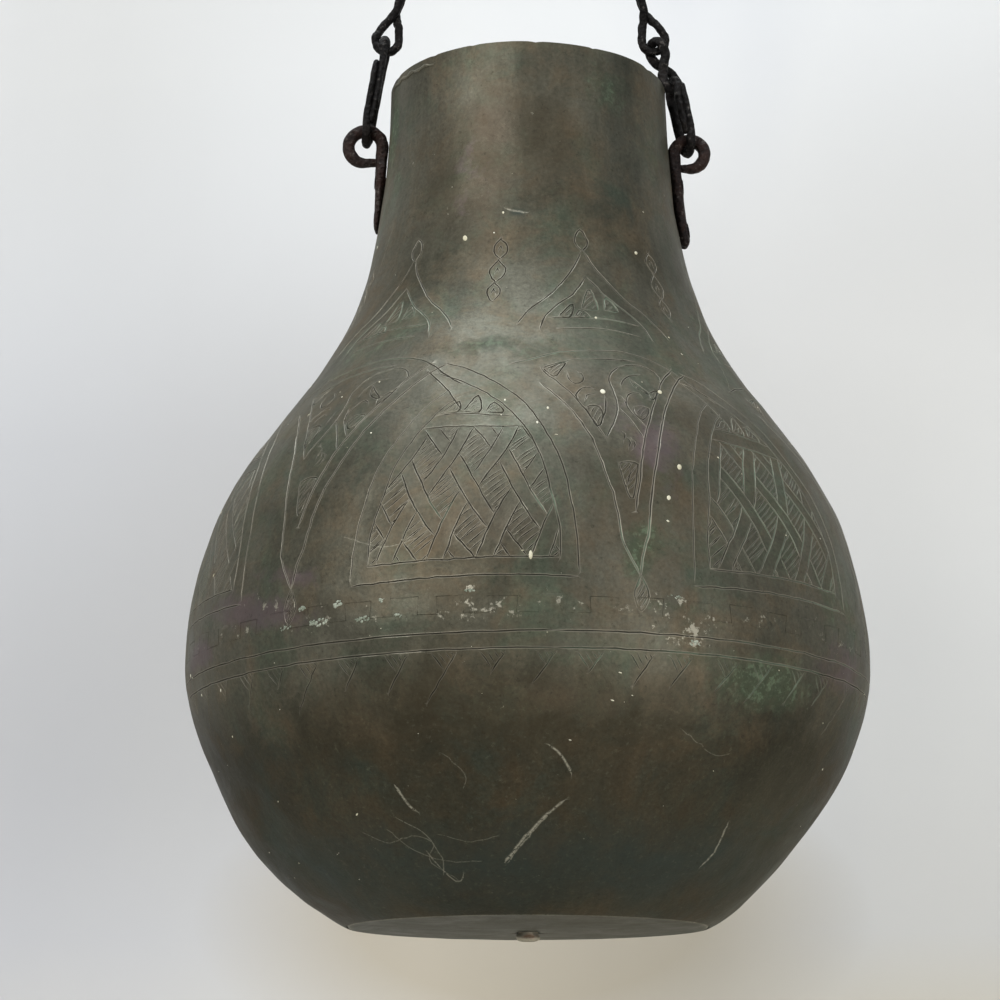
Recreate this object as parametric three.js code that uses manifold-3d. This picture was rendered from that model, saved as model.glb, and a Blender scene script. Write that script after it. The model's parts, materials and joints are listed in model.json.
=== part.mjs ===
// Hanging copper pot on two forged iron chains, with the ring and hook that carry it.
// Millimetres, +Z up. The origin is where the pot hangs: the inside top of the hook.
// Heights in this file are measured from the edge of the pot's base, and the outermost
// group lowers everything at the end. Each nested group stands at a hinge of the chain.

import * as THREE from 'three';
import { mergeVertices } from 'three/addons/utils/BufferGeometryUtils.js';
import Module from 'manifold-3d';

const wasm = await Module();
wasm.setup();

// Pot
const POT_HEIGHT = 400;
const RIM_RADIUS = 66.5;
const NECK_RADIUS = 70.5;
const NECK_LENGTH = 63;
const NECK_SLOPE = THREE.MathUtils.degToRad(6.7);
const BELLY_RADIUS = 156;
const BELLY_HEIGHT = 116;
const BASE_RADIUS = 81.5;
const BASE_SLOPE = THREE.MathUtils.degToRad(67);
const BASE_SAG = 2.1;
const BASE_FLAT_RADIUS = 24;
const WALL = 1.5;
const CLEARANCE = 0.3;

// Fullness of the three curves of the wall, as lengths of their end tangents
const BASE_TANGENT = 22;
const BOWL_TANGENT = 51;
const SHOULDER_TANGENT = 109;
const NECK_TANGENT = 114;
const RIM_TANGENT = 19;

// Tabbed seam between the bowl and the shoulder
const SEAM_HEIGHT = 113.8;
const TAB_HEIGHT = 7.2;
const TAB_COUNT = 48;
const TAB_FLARE = 0.6;
const LAP_ABOVE_TABS = 3;
const JOGGLE = 5;

// Base disc and the plug in its middle
const FLANGE_HEIGHT = 9;
const PLUG_RADIUS = 5.4;
const PLUG_DROP = 3.8;
const PLUG_DISH = 0.8;
const PLUG_HEAD_RADIUS = 8.6;
const PLUG_HEAD_HEIGHT = 1.6;

// Eye straps: a round bar curled into an eye, its shank beaten flat towards the lower end
const EYE_BAR = 3;
const LEFT_EYE_RADIUS = 8.2;
const RIGHT_EYE_RADIUS = 7.3;
const LEFT_EYE_BELOW_RIM = 26;
const RIGHT_EYE_BELOW_RIM = 30;
const LEFT_SHANK_LENGTH = 35.5;
const RIGHT_SHANK_LENGTH = 40;
const STRAP_THICKNESS = 5.6;
const LEFT_STRAP_END_THICKNESS = 2.6;
const RIGHT_STRAP_END_THICKNESS = 5;
const STRAP_WIDTH = 12;
const STRAP_TIP = 1;

// Rivets that hold the straps: heads sunk flush, and a rove under each clenched end
const RIVET_RADIUS = 2.2;
const RIVET_HEAD_RADIUS = 3.8;
const RIVET_HEAD_HEIGHT = 1.2;
const RIVET_BELOW_EYE = 10;
const RIVET_ABOVE_STRAP_END = 7.5;
const ROVE_RADIUS = 5.5;
const ROVE_THICKNESS = 1.2;
const CLENCH_RADIUS = 3.4;
const CLENCH_HEIGHT = 1.4;

// Chain: plain links with lapped ends at the eyes, twisted links above them
const PLAIN_BAR = 2.4;
const PLAIN_HALF_WIDTH = 6.6;
const LAP_WIDTH_SHARE = 0.56;
const LAP_GAP = 0.5;
const TWISTED_BAR = 2;
const TWISTED_HALF_WIDTH = 6;
const STRAND_GAP = 0.9;
const LINK_PLAY = 0.8;
const TWIST_LENGTH = 12;
const SHORT_LINK_ABOVE_RIM = 2.8;
const SHORT_LINK_FROM_RIM = 5;
const FIRST_HINGE_ABOVE_RIM = 24;
const SECOND_HINGE_ABOVE_RIM = 59;
const UPPER_LINKS = 5;
const LEFT_BOW = 6;
const TOP_SPREAD = 4.8;

// Ring and hook
const RING_ABOVE_RIM = 250;
const RING_RADIUS = 16;
const RING_BAR = 3;
const HOOK_BAR = 3;
const HOOK_BEND_RADIUS = 8.5;
const HOOK_TOP_RADIUS = 11;
const HOOK_LENGTH = 44;

// Fineness of the facets
const WALL_SIDES = TAB_COUNT;
const WALL_STEPS = [6, 9, 2];
const BEND_STEPS = 4;

const BACK = new THREE.Vector3(0, 1, 0);
const RIM_Z = POT_HEIGHT;

const copper = new THREE.MeshStandardMaterial({ color: 0x4a4337, roughness: 0.55, metalness: 0.75 });
const bowlCopper = new THREE.MeshStandardMaterial({ color: 0x3b3d34, roughness: 0.55, metalness: 0.75 });
const baseCopper = new THREE.MeshStandardMaterial({ color: 0x55574c, roughness: 0.6, metalness: 0.7 });
const plugCopper = new THREE.MeshStandardMaterial({ color: 0x6b4a3a, roughness: 0.7, metalness: 0.6 });
const iron = new THREE.MeshStandardMaterial({ color: 0x2c2a2a, roughness: 0.85, metalness: 0.6 });
const rustyIron = new THREE.MeshStandardMaterial({ color: 0x3a2f2a, roughness: 0.9, metalness: 0.5 });

// Geometry helpers

function closed(geometry) {
  const bare = geometry.index ? geometry.toNonIndexed() : geometry.clone();
  bare.deleteAttribute('normal');
  bare.deleteAttribute('uv');
  return mergeVertices(bare, 1e-4);
}

function toSolid(geometry) {
  const shape = closed(geometry);
  const mesh = new wasm.Mesh({
    numProp: 3,
    vertProperties: new Float32Array(shape.attributes.position.array),
    triVerts: new Uint32Array(shape.index.array),
  });
  return new wasm.Manifold(mesh);
}

function toGeometry(solid) {
  const mesh = solid.getMesh();
  const geometry = new THREE.BufferGeometry();
  geometry.setAttribute('position', new THREE.Float32BufferAttribute(mesh.vertProperties, 3));
  geometry.setIndex(Array.from(mesh.triVerts));
  return geometry;
}

function cutAll(geometry, cutters) {
  let solid = toSolid(geometry);
  for (const cutter of cutters) solid = solid.subtract(toSolid(cutter));
  return toGeometry(solid);
}

// Turns a closed outline of [radius, height] points about the Z axis.
function turned(outline, sides) {
  const points = outline.map(([radius, height]) => new THREE.Vector2(radius, height));
  const geometry = new THREE.LatheGeometry(points, sides);
  return geometry.rotateX(Math.PI / 2);
}

// Sweeps an eight-sided bar along points. Each station has its point, a direction across
// the bar, and the half sizes of the bar along that direction and at right angles to it.
function forgedBar(stations, isLoop) {
  const count = stations.length;
  const positions = [];
  const indices = [];
  stations.forEach((station, i) => {
    const before = isLoop ? stations[(i + count - 1) % count] : stations[Math.max(i - 1, 0)];
    const after = isLoop ? stations[(i + 1) % count] : stations[Math.min(i + 1, count - 1)];
    const along = after.at.clone().sub(before.at).normalize();
    const first = station.across.clone().addScaledVector(along, -station.across.dot(along)).normalize();
    const second = along.clone().cross(first);
    for (const [p, q] of barSection(station.half, station.depth)) {
      const corner = station.at.clone().addScaledVector(first, p).addScaledVector(second, q);
      positions.push(corner.x, corner.y, corner.z);
    }
  });
  const sides = positions.length / 3 / count;
  const spans = isLoop ? count : count - 1;
  for (let i = 0; i < spans; i += 1) {
    const here = i * sides;
    const next = ((i + 1) % count) * sides;
    for (let j = 0; j < sides; j += 1) {
      const k = (j + 1) % sides;
      indices.push(here + j, here + k, next + j, here + k, next + k, next + j);
    }
  }
  if (!isLoop) {
    const last = (count - 1) * sides;
    for (let j = 1; j < sides - 1; j += 1) {
      indices.push(0, j + 1, j);
      indices.push(last, last + j, last + j + 1);
    }
  }
  const geometry = new THREE.BufferGeometry();
  geometry.setAttribute('position', new THREE.Float32BufferAttribute(positions, 3));
  geometry.setIndex(indices);
  return geometry;
}

// A rectangle with its corners beaten off; equal halves give a regular octagon.
function barSection(half, depth) {
  const chamfer = Math.min(half, depth) * (2 - Math.SQRT2);
  const quarter = [[half, depth - chamfer], [half - chamfer, depth]];
  const corners = [];
  for (const [a, b, turnBack] of [[1, 1, false], [-1, 1, true], [-1, -1, false], [1, -1, true]]) {
    const pair = turnBack ? [...quarter].reverse() : quarter;
    for (const [p, q] of pair) corners.push([a * p, b * q]);
  }
  return corners;
}

function roundStation(at, across, radius) {
  return { at, across, half: radius, depth: radius };
}

function shareBetween(from, to, share) {
  return from + (to - from) * share;
}

// The wall of the pot: bowl, shoulder and neck as three curves of radius against height

function wallCurves() {
  const baseEdge = new THREE.Vector2(BASE_RADIUS, 0);
  const belly = new THREE.Vector2(BELLY_RADIUS, BELLY_HEIGHT);
  const neck = new THREE.Vector2(NECK_RADIUS, POT_HEIGHT - NECK_LENGTH);
  const rim = new THREE.Vector2(RIM_RADIUS, POT_HEIGHT);
  const outward = new THREE.Vector2(Math.sin(BASE_SLOPE), Math.cos(BASE_SLOPE));
  const inward = new THREE.Vector2(-Math.sin(NECK_SLOPE), Math.cos(NECK_SLOPE));
  const bowl = new THREE.CubicBezierCurve(
    baseEdge,
    baseEdge.clone().addScaledVector(outward, BASE_TANGENT),
    belly.clone().add(new THREE.Vector2(0, -BOWL_TANGENT)),
    belly,
  );
  const shoulder = new THREE.CubicBezierCurve(
    belly,
    belly.clone().add(new THREE.Vector2(0, SHOULDER_TANGENT)),
    neck.clone().addScaledVector(inward, -NECK_TANGENT),
    neck,
  );
  const neckCurve = new THREE.CubicBezierCurve(
    neck,
    neck.clone().addScaledVector(inward, RIM_TANGENT),
    rim.clone().add(new THREE.Vector2(0, -RIM_TANGENT)),
    rim,
  );
  return [bowl, shoulder, neckCurve];
}

// The facets of the wall, from the base to the rim, that every piece on it is fitted to.
const WALL_LINE = wallCurves().flatMap((curve, index) => curve.getPoints(WALL_STEPS[index]));

function wallRadius(height) {
  const above = WALL_LINE.findIndex((point) => point.y >= height);
  if (above < 1) return above === 0 ? WALL_LINE[0].x : WALL_LINE[WALL_LINE.length - 1].x;
  const low = WALL_LINE[above - 1];
  const high = WALL_LINE[above];
  const share = high.y > low.y ? (height - low.y) / (high.y - low.y) : 0;
  return shareBetween(low.x, high.x, share);
}

function wallSlope(height) {
  const step = 0.5;
  const low = Math.max(height - step, 0);
  const high = Math.min(height + step, POT_HEIGHT);
  return (wallRadius(high) - wallRadius(low)) / (high - low);
}

// Radius at a height of the surface that lies a depth inside the outer skin.
function skinRadius(height, depth) {
  return wallRadius(height) - depth * Math.hypot(1, wallSlope(height));
}

function skinPoints(depth, heights) {
  return heights.map((height) => [skinRadius(height, depth), height]);
}

// Heights of the facets between two cuts, leaving out those too close to a cut.
function wallHeights(from, to) {
  const closest = 1;
  const inside = WALL_LINE.map((point) => point.y).filter((height, index, all) => (
    height > from + closest && height < to - closest && height !== all[index - 1]
  ));
  return [from, ...inside, to];
}

// Places of the tabs: the bowl's tabs fill the gaps between the shoulder's tabs

function tabCutter(index, isShoulder) {
  const bottom = SEAM_HEIGHT;
  const top = SEAM_HEIGHT + TAB_HEIGHT;
  const pitch = 2 * Math.PI / TAB_COUNT;
  const facet = wallRadius(bottom) * Math.cos(Math.PI / WALL_SIDES);
  const halfWidth = facet * Math.tan(pitch / 4);
  const spare = 3;
  const low = isShoulder ? bottom - spare : bottom - CLEARANCE / 2;
  const high = isShoulder ? top + CLEARANCE / 2 : top + spare / 2;
  const room = CLEARANCE / 2;
  const flareAt = (height) => (TAB_FLARE * (height - bottom)) / TAB_HEIGHT;
  const halfAt = (height) => halfWidth + room + (isShoulder ? flareAt(height) : -flareAt(height));
  const inner = isShoulder ? facet - WALL - spare : facet - WALL - CLEARANCE;
  const outer = facet + spare;
  const shape = new THREE.Shape([
    new THREE.Vector2(-halfAt(low), low),
    new THREE.Vector2(halfAt(low), low),
    new THREE.Vector2(halfAt(high), high),
    new THREE.Vector2(-halfAt(high), high),
  ]);
  const block = new THREE.ExtrudeGeometry(shape, { depth: outer - inner, bevelEnabled: false });
  block.rotateX(Math.PI / 2);
  block.translate(0, -inner, 0);
  const turn = (index + (isShoulder ? 0.5 : 1)) * pitch;
  return block.rotateZ(turn);
}

function tabCutters(isShoulder) {
  return Array.from({ length: TAB_COUNT }, (unused, index) => tabCutter(index, isShoulder));
}

// Rivets stand square to the wall on the side of a strap

function rivetHeights(side) {
  return {
    upper: side.eyeHeight - side.eyeRadius - RIVET_BELOW_EYE,
    lower: side.strapEnd + RIVET_ABOVE_STRAP_END,
  };
}

// Thickness of the shank of a strap, which thins towards its lower end.
function strapThickness(side, height) {
  const eyeBottom = side.eyeHeight - side.eyeRadius;
  const share = (height - side.strapEnd) / (eyeBottom - side.strapEnd);
  return shareBetween(side.strapEndThickness, STRAP_THICKNESS, THREE.MathUtils.clamp(share, 0, 1));
}

// Turns a shape made along +Z so that +Z points out of the wall at a height.
function squareToWall(geometry, side, height) {
  const slope = wallSlope(height);
  geometry.rotateY(side.sign * (Math.PI / 2 + Math.atan(slope)));
  return geometry.translate(side.sign * wallRadius(height), 0, height);
}

function rivetHole(side, height) {
  const spare = 6;
  const face = CLEARANCE + strapThickness(side, height);
  const bore = RIVET_RADIUS + CLEARANCE;
  const sink = RIVET_HEAD_RADIUS + CLEARANCE;
  const outline = [
    [0, -spare],
    [bore, -spare],
    [bore, face - RIVET_HEAD_HEIGHT - CLEARANCE],
    [sink, face - CLEARANCE],
    [sink, face + spare],
    [0, face + spare],
  ];
  return squareToWall(turned(outline, 10), side, height);
}

function roveStandOff() {
  return WALL + CLEARANCE + (ROVE_RADIUS * ROVE_RADIUS) / (2 * RIM_RADIUS);
}

function rivet(side, height) {
  const face = CLEARANCE + strapThickness(side, height);
  const clenchSeat = -(roveStandOff() + ROVE_THICKNESS + CLEARANCE);
  const outline = [
    [0, clenchSeat - CLENCH_HEIGHT],
    [CLENCH_RADIUS * 0.7, clenchSeat - CLENCH_HEIGHT],
    [CLENCH_RADIUS, clenchSeat],
    [RIVET_RADIUS, clenchSeat],
    [RIVET_RADIUS, face - RIVET_HEAD_HEIGHT],
    [RIVET_HEAD_RADIUS, face],
    [0, face],
  ];
  return squareToWall(turned(outline, 10), side, height);
}

function rove(side, height) {
  const outer = -roveStandOff();
  const inner = outer - ROVE_THICKNESS;
  const hole = RIVET_RADIUS + CLEARANCE;
  const outline = [[hole, inner], [ROVE_RADIUS, inner], [ROVE_RADIUS, outer], [hole, outer], [hole, inner]];
  return squareToWall(turned(outline, 10), side, height);
}

// Pot pieces

function upperShell(sides) {
  const heights = wallHeights(SEAM_HEIGHT + CLEARANCE / 2, POT_HEIGHT);
  const outer = skinPoints(0, heights);
  const inner = skinPoints(WALL, heights).reverse();
  const body = turned([...outer, ...inner, outer[0]], WALL_SIDES);
  const holes = sides.flatMap((side) => Object.values(rivetHeights(side)).map((z) => rivetHole(side, z)));
  return cutAll(body, [...tabCutters(true), ...holes]);
}

function lowerShell() {
  const tabTop = SEAM_HEIGHT + TAB_HEIGHT - CLEARANCE / 2;
  const lapTop = SEAM_HEIGHT + TAB_HEIGHT + LAP_ABOVE_TABS;
  const lapDepth = WALL + CLEARANCE;
  const outer = skinPoints(0, wallHeights(0, tabTop));
  const lap = [
    [skinRadius(tabTop, lapDepth), tabTop],
    [skinRadius(lapTop, lapDepth), lapTop],
    [skinRadius(lapTop, lapDepth + WALL), lapTop],
    [skinRadius(SEAM_HEIGHT, lapDepth + WALL), SEAM_HEIGHT - CLEARANCE],
  ];
  const inner = skinPoints(WALL, wallHeights(0, SEAM_HEIGHT - JOGGLE)).reverse();
  const body = turned([...outer, ...lap, ...inner, outer[0]], WALL_SIDES);
  return cutAll(body, tabCutters(false));
}

function domeHeight(radius, edgeRadius) {
  const rise = Math.max(radius - BASE_FLAT_RADIUS, 0) / (edgeRadius - BASE_FLAT_RADIUS);
  return BASE_SAG * (rise * rise - 1);
}

function baseDisc() {
  const flangeDepth = WALL + CLEARANCE;
  const hole = PLUG_RADIUS + CLEARANCE;
  const edge = skinRadius(0, flangeDepth);
  const innerEdge = skinRadius(WALL, flangeDepth + WALL);
  const rings = [0, 0.35, 0.7].map((share) => shareBetween(BASE_FLAT_RADIUS, edge, share));
  const under = [[hole, -BASE_SAG], ...rings.map((r) => [r, domeHeight(r, edge)]), [edge, 0]];
  const flange = [
    [skinRadius(FLANGE_HEIGHT, flangeDepth), FLANGE_HEIGHT],
    [skinRadius(FLANGE_HEIGHT, flangeDepth + WALL), FLANGE_HEIGHT],
    [innerEdge, WALL],
  ];
  const over = rings.reverse().map((r) => [r, domeHeight(r, edge) + WALL]);
  return turned([...under, ...flange, ...over, [hole, WALL - BASE_SAG], under[0]], WALL_SIDES);
}

function basePlug() {
  const end = -BASE_SAG - PLUG_DROP;
  const seat = WALL - BASE_SAG + CLEARANCE;
  const outline = [
    [0, end + PLUG_DISH],
    [PLUG_RADIUS * 0.5, end + PLUG_DISH],
    [PLUG_RADIUS * 0.75, end],
    [PLUG_RADIUS, end + PLUG_DISH],
    [PLUG_RADIUS, seat],
    [PLUG_HEAD_RADIUS, seat],
    [PLUG_HEAD_RADIUS * 0.7, seat + PLUG_HEAD_HEIGHT],
    [0, seat + PLUG_HEAD_HEIGHT],
  ];
  return turned(outline, 16);
}

// Eye strap: up the wall, over the eye, and straight back under it to a thin end at the shank

function eyePoint(side, angle) {
  const out = side.eyeOut + side.eyeRadius * Math.cos(angle);
  const isPastBottom = angle < -Math.PI / 2;
  const up = side.eyeHeight + side.eyeRadius * (isPastBottom ? -1 : Math.sin(angle));
  return new THREE.Vector3(side.sign * out, 0, up);
}

function shankStation(side, height, half, depthShare) {
  const depth = (strapThickness(side, height) / 2) * depthShare;
  const out = wallRadius(height) + (CLEARANCE + depth) * Math.hypot(1, wallSlope(height));
  return { at: new THREE.Vector3(side.sign * out, 0, height), across: BACK, half, depth };
}

function eyeStrap(side) {
  const width = STRAP_WIDTH / 2;
  const eyeBottom = side.eyeHeight - side.eyeRadius;
  const stations = [
    shankStation(side, side.strapEnd, width * 0.45, 0.7),
    shankStation(side, side.strapEnd + 2.5, width * 0.85, 1),
    shankStation(side, side.strapEnd + 6, width, 1),
    shankStation(side, (side.strapEnd + eyeBottom) / 2, width, 1),
    shankStation(side, eyeBottom - RIVET_BELOW_EYE + RIVET_RADIUS * 2, width, 1),
    shankStation(side, eyeBottom - EYE_BAR / 2, shareBetween(width, EYE_BAR, 0.6), 1),
  ];
  const shankFace = wallRadius(eyeBottom) + CLEARANCE + STRAP_THICKNESS;
  const endOut = side.eyeOut - (shankFace + 2 * CLEARANCE);
  const endAngle = -Math.PI / 2 - Math.asin(endOut / side.eyeRadius);
  const steps = 12;
  const taperFrom = 0.66;
  for (let i = 0; i <= steps; i += 1) {
    const share = i / steps;
    const angle = shareBetween(Math.PI, endAngle, share);
    const taper = Math.max(share - taperFrom, 0) / (1 - taperFrom);
    const half = shareBetween(EYE_BAR, STRAP_TIP * 1.6, taper);
    stations.push({
      at: eyePoint(side, angle),
      across: BACK,
      half,
      depth: shareBetween(EYE_BAR, STRAP_TIP, taper),
    });
  }
  const bar = forgedBar(stations, false);
  return cutAll(bar, Object.values(rivetHeights(side)).map((height) => rivetHole(side, height)));
}

// Chain links. A link runs from the middle of its lower bend to the middle of its upper bend.

function linkFrame(bottom, top) {
  const along = top.clone().sub(bottom);
  const length = along.length();
  along.normalize();
  const across = BACK.clone().cross(along).normalize();
  return { bottom, along, across, length };
}

function onLink(frame, up, across, back) {
  return frame.bottom.clone()
    .addScaledVector(frame.along, up)
    .addScaledVector(frame.across, across)
    .addScaledVector(BACK, back);
}

// A plain link lies front to back. Its thinned ends pass each other on the front leg.
function plainLink(frame, outward) {
  const half = PLAIN_HALF_WIDTH;
  const bar = PLAIN_BAR;
  const legLow = half;
  const legHigh = frame.length - half;
  const leg = legHigh - legLow;
  const thin = bar * LAP_WIDTH_SHARE;
  const shift = outward * (thin + LAP_GAP / 2);
  const stations = [];
  const add = (up, back, side, width, depth) => {
    stations.push({ at: onLink(frame, up, side, back), across: frame.across, half: width, depth });
  };
  add(legLow + leg * 0.92, -half, shift, thin * 0.5, bar * 0.55);
  add(legLow + leg * 0.8, -half, shift, thin, bar);
  add(legLow + leg * 0.25, -half, shift, thin, bar);
  add(legLow, -half, shift * 0.4, bar * 0.85, bar);
  for (let i = 1; i <= 2 * BEND_STEPS; i += 1) {
    const angle = Math.PI * (1 - i / (2 * BEND_STEPS));
    add(legLow - half * Math.sin(angle), half * Math.cos(angle), 0, bar, bar);
  }
  for (let i = 0; i < 2 * BEND_STEPS; i += 1) {
    const angle = (Math.PI * i) / (2 * BEND_STEPS);
    add(legHigh + half * Math.sin(angle), half * Math.cos(angle), 0, bar, bar);
  }
  add(legHigh, -half, -shift * 0.4, bar * 0.85, bar);
  add(legLow + leg * 0.75, -half, -shift, thin, bar);
  add(legLow + leg * 0.2, -half, -shift, thin, bar);
  add(legLow + leg * 0.08, -half, -shift, thin * 0.5, bar * 0.55);
  return forgedBar(stations, false);
}

// A twisted link is a ring pinched in the middle and turned a quarter, so that its lower
// eye faces the front and its upper eye faces the side.
function twistedLink(frame) {
  const middle = frame.length / 2;
  const waist = TWISTED_BAR + STRAND_GAP / 2;
  const rise = middle - TWISTED_HALF_WIDTH;
  const reach = Math.hypot(waist, rise);
  const tangent = Math.atan2(rise, waist) - Math.acos(TWISTED_HALF_WIDTH / reach);
  const arc = [];
  for (let i = 0; i <= BEND_STEPS; i += 1) {
    const angle = shareBetween(-Math.PI / 2, tangent, i / BEND_STEPS);
    arc.push([TWISTED_HALF_WIDTH * Math.cos(angle), TWISTED_HALF_WIDTH + TWISTED_HALF_WIDTH * Math.sin(angle)]);
  }
  const [edgeWidth, edgeHeight] = arc[arc.length - 1];
  const twist = Math.min(TWIST_LENGTH / 2, (middle - edgeHeight) * 0.8);
  const half = [...arc];
  half.push([shareBetween(waist, edgeWidth, twist / (middle - edgeHeight)), middle - twist]);
  const mirrored = half.map(([width, height]) => [width, frame.length - height]).reverse();
  const strand = [...half, [waist, middle], ...mirrored];
  const turnAt = (height) => {
    const share = THREE.MathUtils.clamp((height - middle + twist) / (2 * twist), 0, 1);
    return (Math.PI / 2) * share;
  };
  const station = (width, height) => {
    const turn = turnAt(height);
    const across = frame.across.clone().multiplyScalar(-Math.sin(turn)).addScaledVector(BACK, Math.cos(turn));
    const at = onLink(frame, height, width * Math.cos(turn), width * Math.sin(turn));
    return roundStation(at, across, TWISTED_BAR);
  };
  const up = strand.map(([width, height]) => station(width, height));
  const down = strand.slice(1, -1).reverse().map(([width, height]) => station(-width, height));
  return forgedBar([...up, ...down], true);
}

// Route of a chain side: where its links hang on each other

function makeSide(name, sign, eyeRadius, belowRim, shankLength, strapEndThickness, bow, hasShortLink) {
  const eyeHeight = RIM_Z - belowRim;
  const strapEnd = eyeHeight - eyeRadius - shankLength;
  const eyeOut = wallRadius(eyeHeight) + CLEARANCE + EYE_BAR + eyeRadius;
  const side = { name, sign, eyeRadius, eyeHeight, eyeOut, strapEnd, strapEndThickness };
  const eye = new THREE.Vector3(sign * eyeOut, 0, eyeHeight);
  const ringZ = RIM_Z + RING_ABOVE_RIM;
  const topHeight = ringZ - Math.sqrt(RING_RADIUS ** 2 - TOP_SPREAD ** 2);
  const lineOut = (height) => eyeOut * ((ringZ - height) / (ringZ - eyeHeight));
  const hinges = [];
  if (hasShortLink) {
    const out = RIM_RADIUS + SHORT_LINK_FROM_RIM;
    hinges.push(new THREE.Vector3(sign * out, 0, RIM_Z + SHORT_LINK_ABOVE_RIM));
  }
  const firstHeight = RIM_Z + FIRST_HINGE_ABOVE_RIM;
  const secondHeight = RIM_Z + SECOND_HINGE_ABOVE_RIM;
  const second = new THREE.Vector3(sign * (lineOut(secondHeight) + bow), 0, secondHeight);
  hinges.push(new THREE.Vector3(sign * (lineOut(firstHeight) + bow), 0, firstHeight), second);
  const top = new THREE.Vector3(sign * TOP_SPREAD, 0, topHeight);
  for (let i = 1; i <= UPPER_LINKS; i += 1) hinges.push(second.clone().lerp(top, i / UPPER_LINKS));
  const pull = hinges[0].clone().sub(eye).normalize();
  side.eyeHinge = eye.clone().addScaledVector(pull, eyeRadius);
  side.firstBend = side.eyeHinge.clone().addScaledVector(pull, -(EYE_BAR + PLAIN_BAR + LINK_PLAY));
  side.hinges = hinges;
  return side;
}

// The bar of link number index on a side, and of what it hangs on.
function barOf(side, index) {
  if (index === 0) return PLAIN_BAR;
  return index < side.hinges.length ? TWISTED_BAR : RING_BAR;
}

function linkGeometry(side, index) {
  const bottom = index === 0 ? side.firstBend : side.hinges[index - 1];
  const hinge = side.hinges[index];
  const pull = hinge.clone().sub(bottom).normalize();
  const top = hinge.clone().addScaledVector(pull, barOf(side, index) + barOf(side, index + 1) + LINK_PLAY);
  const frame = linkFrame(bottom, top);
  return index === 0 ? plainLink(frame, side.sign) : twistedLink(frame);
}

// Ring and hook

const RING_Z = RIM_Z + RING_ABOVE_RIM;
const HOOK_BEND_Z = RING_Z + RING_RADIUS - RING_BAR - HOOK_BAR - LINK_PLAY;

function suspensionRing() {
  const ring = new THREE.TorusGeometry(RING_RADIUS, RING_BAR, 8, 18);
  return ring.rotateX(Math.PI / 2).translate(0, 0, RING_Z);
}

// An S bent front to back: the ring hangs in the lower bend, the upper bend goes over a bar.
function suspensionHook() {
  const lowCentre = HOOK_BEND_Z + HOOK_BEND_RADIUS;
  const highCentre = HOOK_BEND_Z + HOOK_LENGTH - HOOK_TOP_RADIUS;
  const stations = [];
  const add = (back, height, thickness) => {
    stations.push(roundStation(new THREE.Vector3(0, back, height), new THREE.Vector3(1, 0, 0), thickness));
  };
  const bend = (centre, radius, from, to, steps, thicknessAt) => {
    for (let i = 0; i <= steps; i += 1) {
      const angle = THREE.MathUtils.degToRad(shareBetween(from, to, i / steps));
      add(radius * Math.cos(angle), centre + radius * Math.sin(angle), thicknessAt(i / steps));
    }
  };
  add(-HOOK_BEND_RADIUS * 0.9, lowCentre + HOOK_BEND_RADIUS * 0.8, HOOK_BAR * 0.6);
  bend(lowCentre, HOOK_BEND_RADIUS, 180, 385, 8, (share) => HOOK_BAR * Math.min(0.85 + share, 1));
  bend(highCentre, HOOK_TOP_RADIUS, 205, -5, 8, (share) => HOOK_BAR * Math.min(1.7 - share * 0.8, 1));
  add(HOOK_TOP_RADIUS * 1.12, highCentre - HOOK_TOP_RADIUS * 0.6, HOOK_BAR * 0.6);
  return forgedBar(stations, false);
}

// Assembly: groups stand at the hinges, in the order in which one piece hangs on another

function groupAt(parent, point) {
  const group = new THREE.Group();
  group.userData.at = point.clone();
  group.position.copy(point);
  if (parent) {
    group.position.sub(parent.userData.at);
    parent.add(group);
  }
  return group;
}

function addPiece(group, name, geometry, material) {
  const mesh = new THREE.Mesh(closed(geometry), material);
  mesh.name = name;
  mesh.position.copy(group.userData.at).negate();
  group.add(mesh);
}

function addChain(ringGroup, side) {
  let group = ringGroup;
  for (let index = side.hinges.length - 1; index >= 0; index -= 1) {
    group = groupAt(group, side.hinges[index]);
    group.name = `${side.name}_link_${index + 1}_swing`;
    addPiece(group, `${side.name}_link_${index + 1}`, linkGeometry(side, index), iron);
  }
  return group;
}

function addStrap(group, side) {
  addPiece(group, `${side.name}_eye_strap`, eyeStrap(side), rustyIron);
  for (const [level, height] of Object.entries(rivetHeights(side))) {
    addPiece(group, `${side.name}_${level}_rivet`, rivet(side, height), rustyIron);
    addPiece(group, `${side.name}_${level}_rove`, rove(side, height), rustyIron);
  }
}

function addPot(group, sides) {
  addPiece(group, 'upper_shell', upperShell(sides), copper);
  addPiece(group, 'lower_shell', lowerShell(), bowlCopper);
  addPiece(group, 'base_disc', baseDisc(), baseCopper);
  addPiece(group, 'base_plug', basePlug(), plugCopper);
  for (const side of sides) addStrap(group, side);
}

const left = makeSide(
  'left',
  -1,
  LEFT_EYE_RADIUS,
  LEFT_EYE_BELOW_RIM,
  LEFT_SHANK_LENGTH,
  LEFT_STRAP_END_THICKNESS,
  LEFT_BOW,
  false,
);
const right = makeSide(
  'right',
  1,
  RIGHT_EYE_RADIUS,
  RIGHT_EYE_BELOW_RIM,
  RIGHT_SHANK_LENGTH,
  RIGHT_STRAP_END_THICKNESS,
  0,
  true,
);

const assembly = groupAt(null, new THREE.Vector3(0, 0, 0));
addPiece(assembly, 'suspension_hook', suspensionHook(), iron);

const ringGroup = groupAt(assembly, new THREE.Vector3(0, 0, HOOK_BEND_Z));
ringGroup.name = 'ring_swing';
addPiece(ringGroup, 'suspension_ring', suspensionRing(), iron);

const lowestLeft = addChain(ringGroup, left);
addChain(ringGroup, right);

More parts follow.
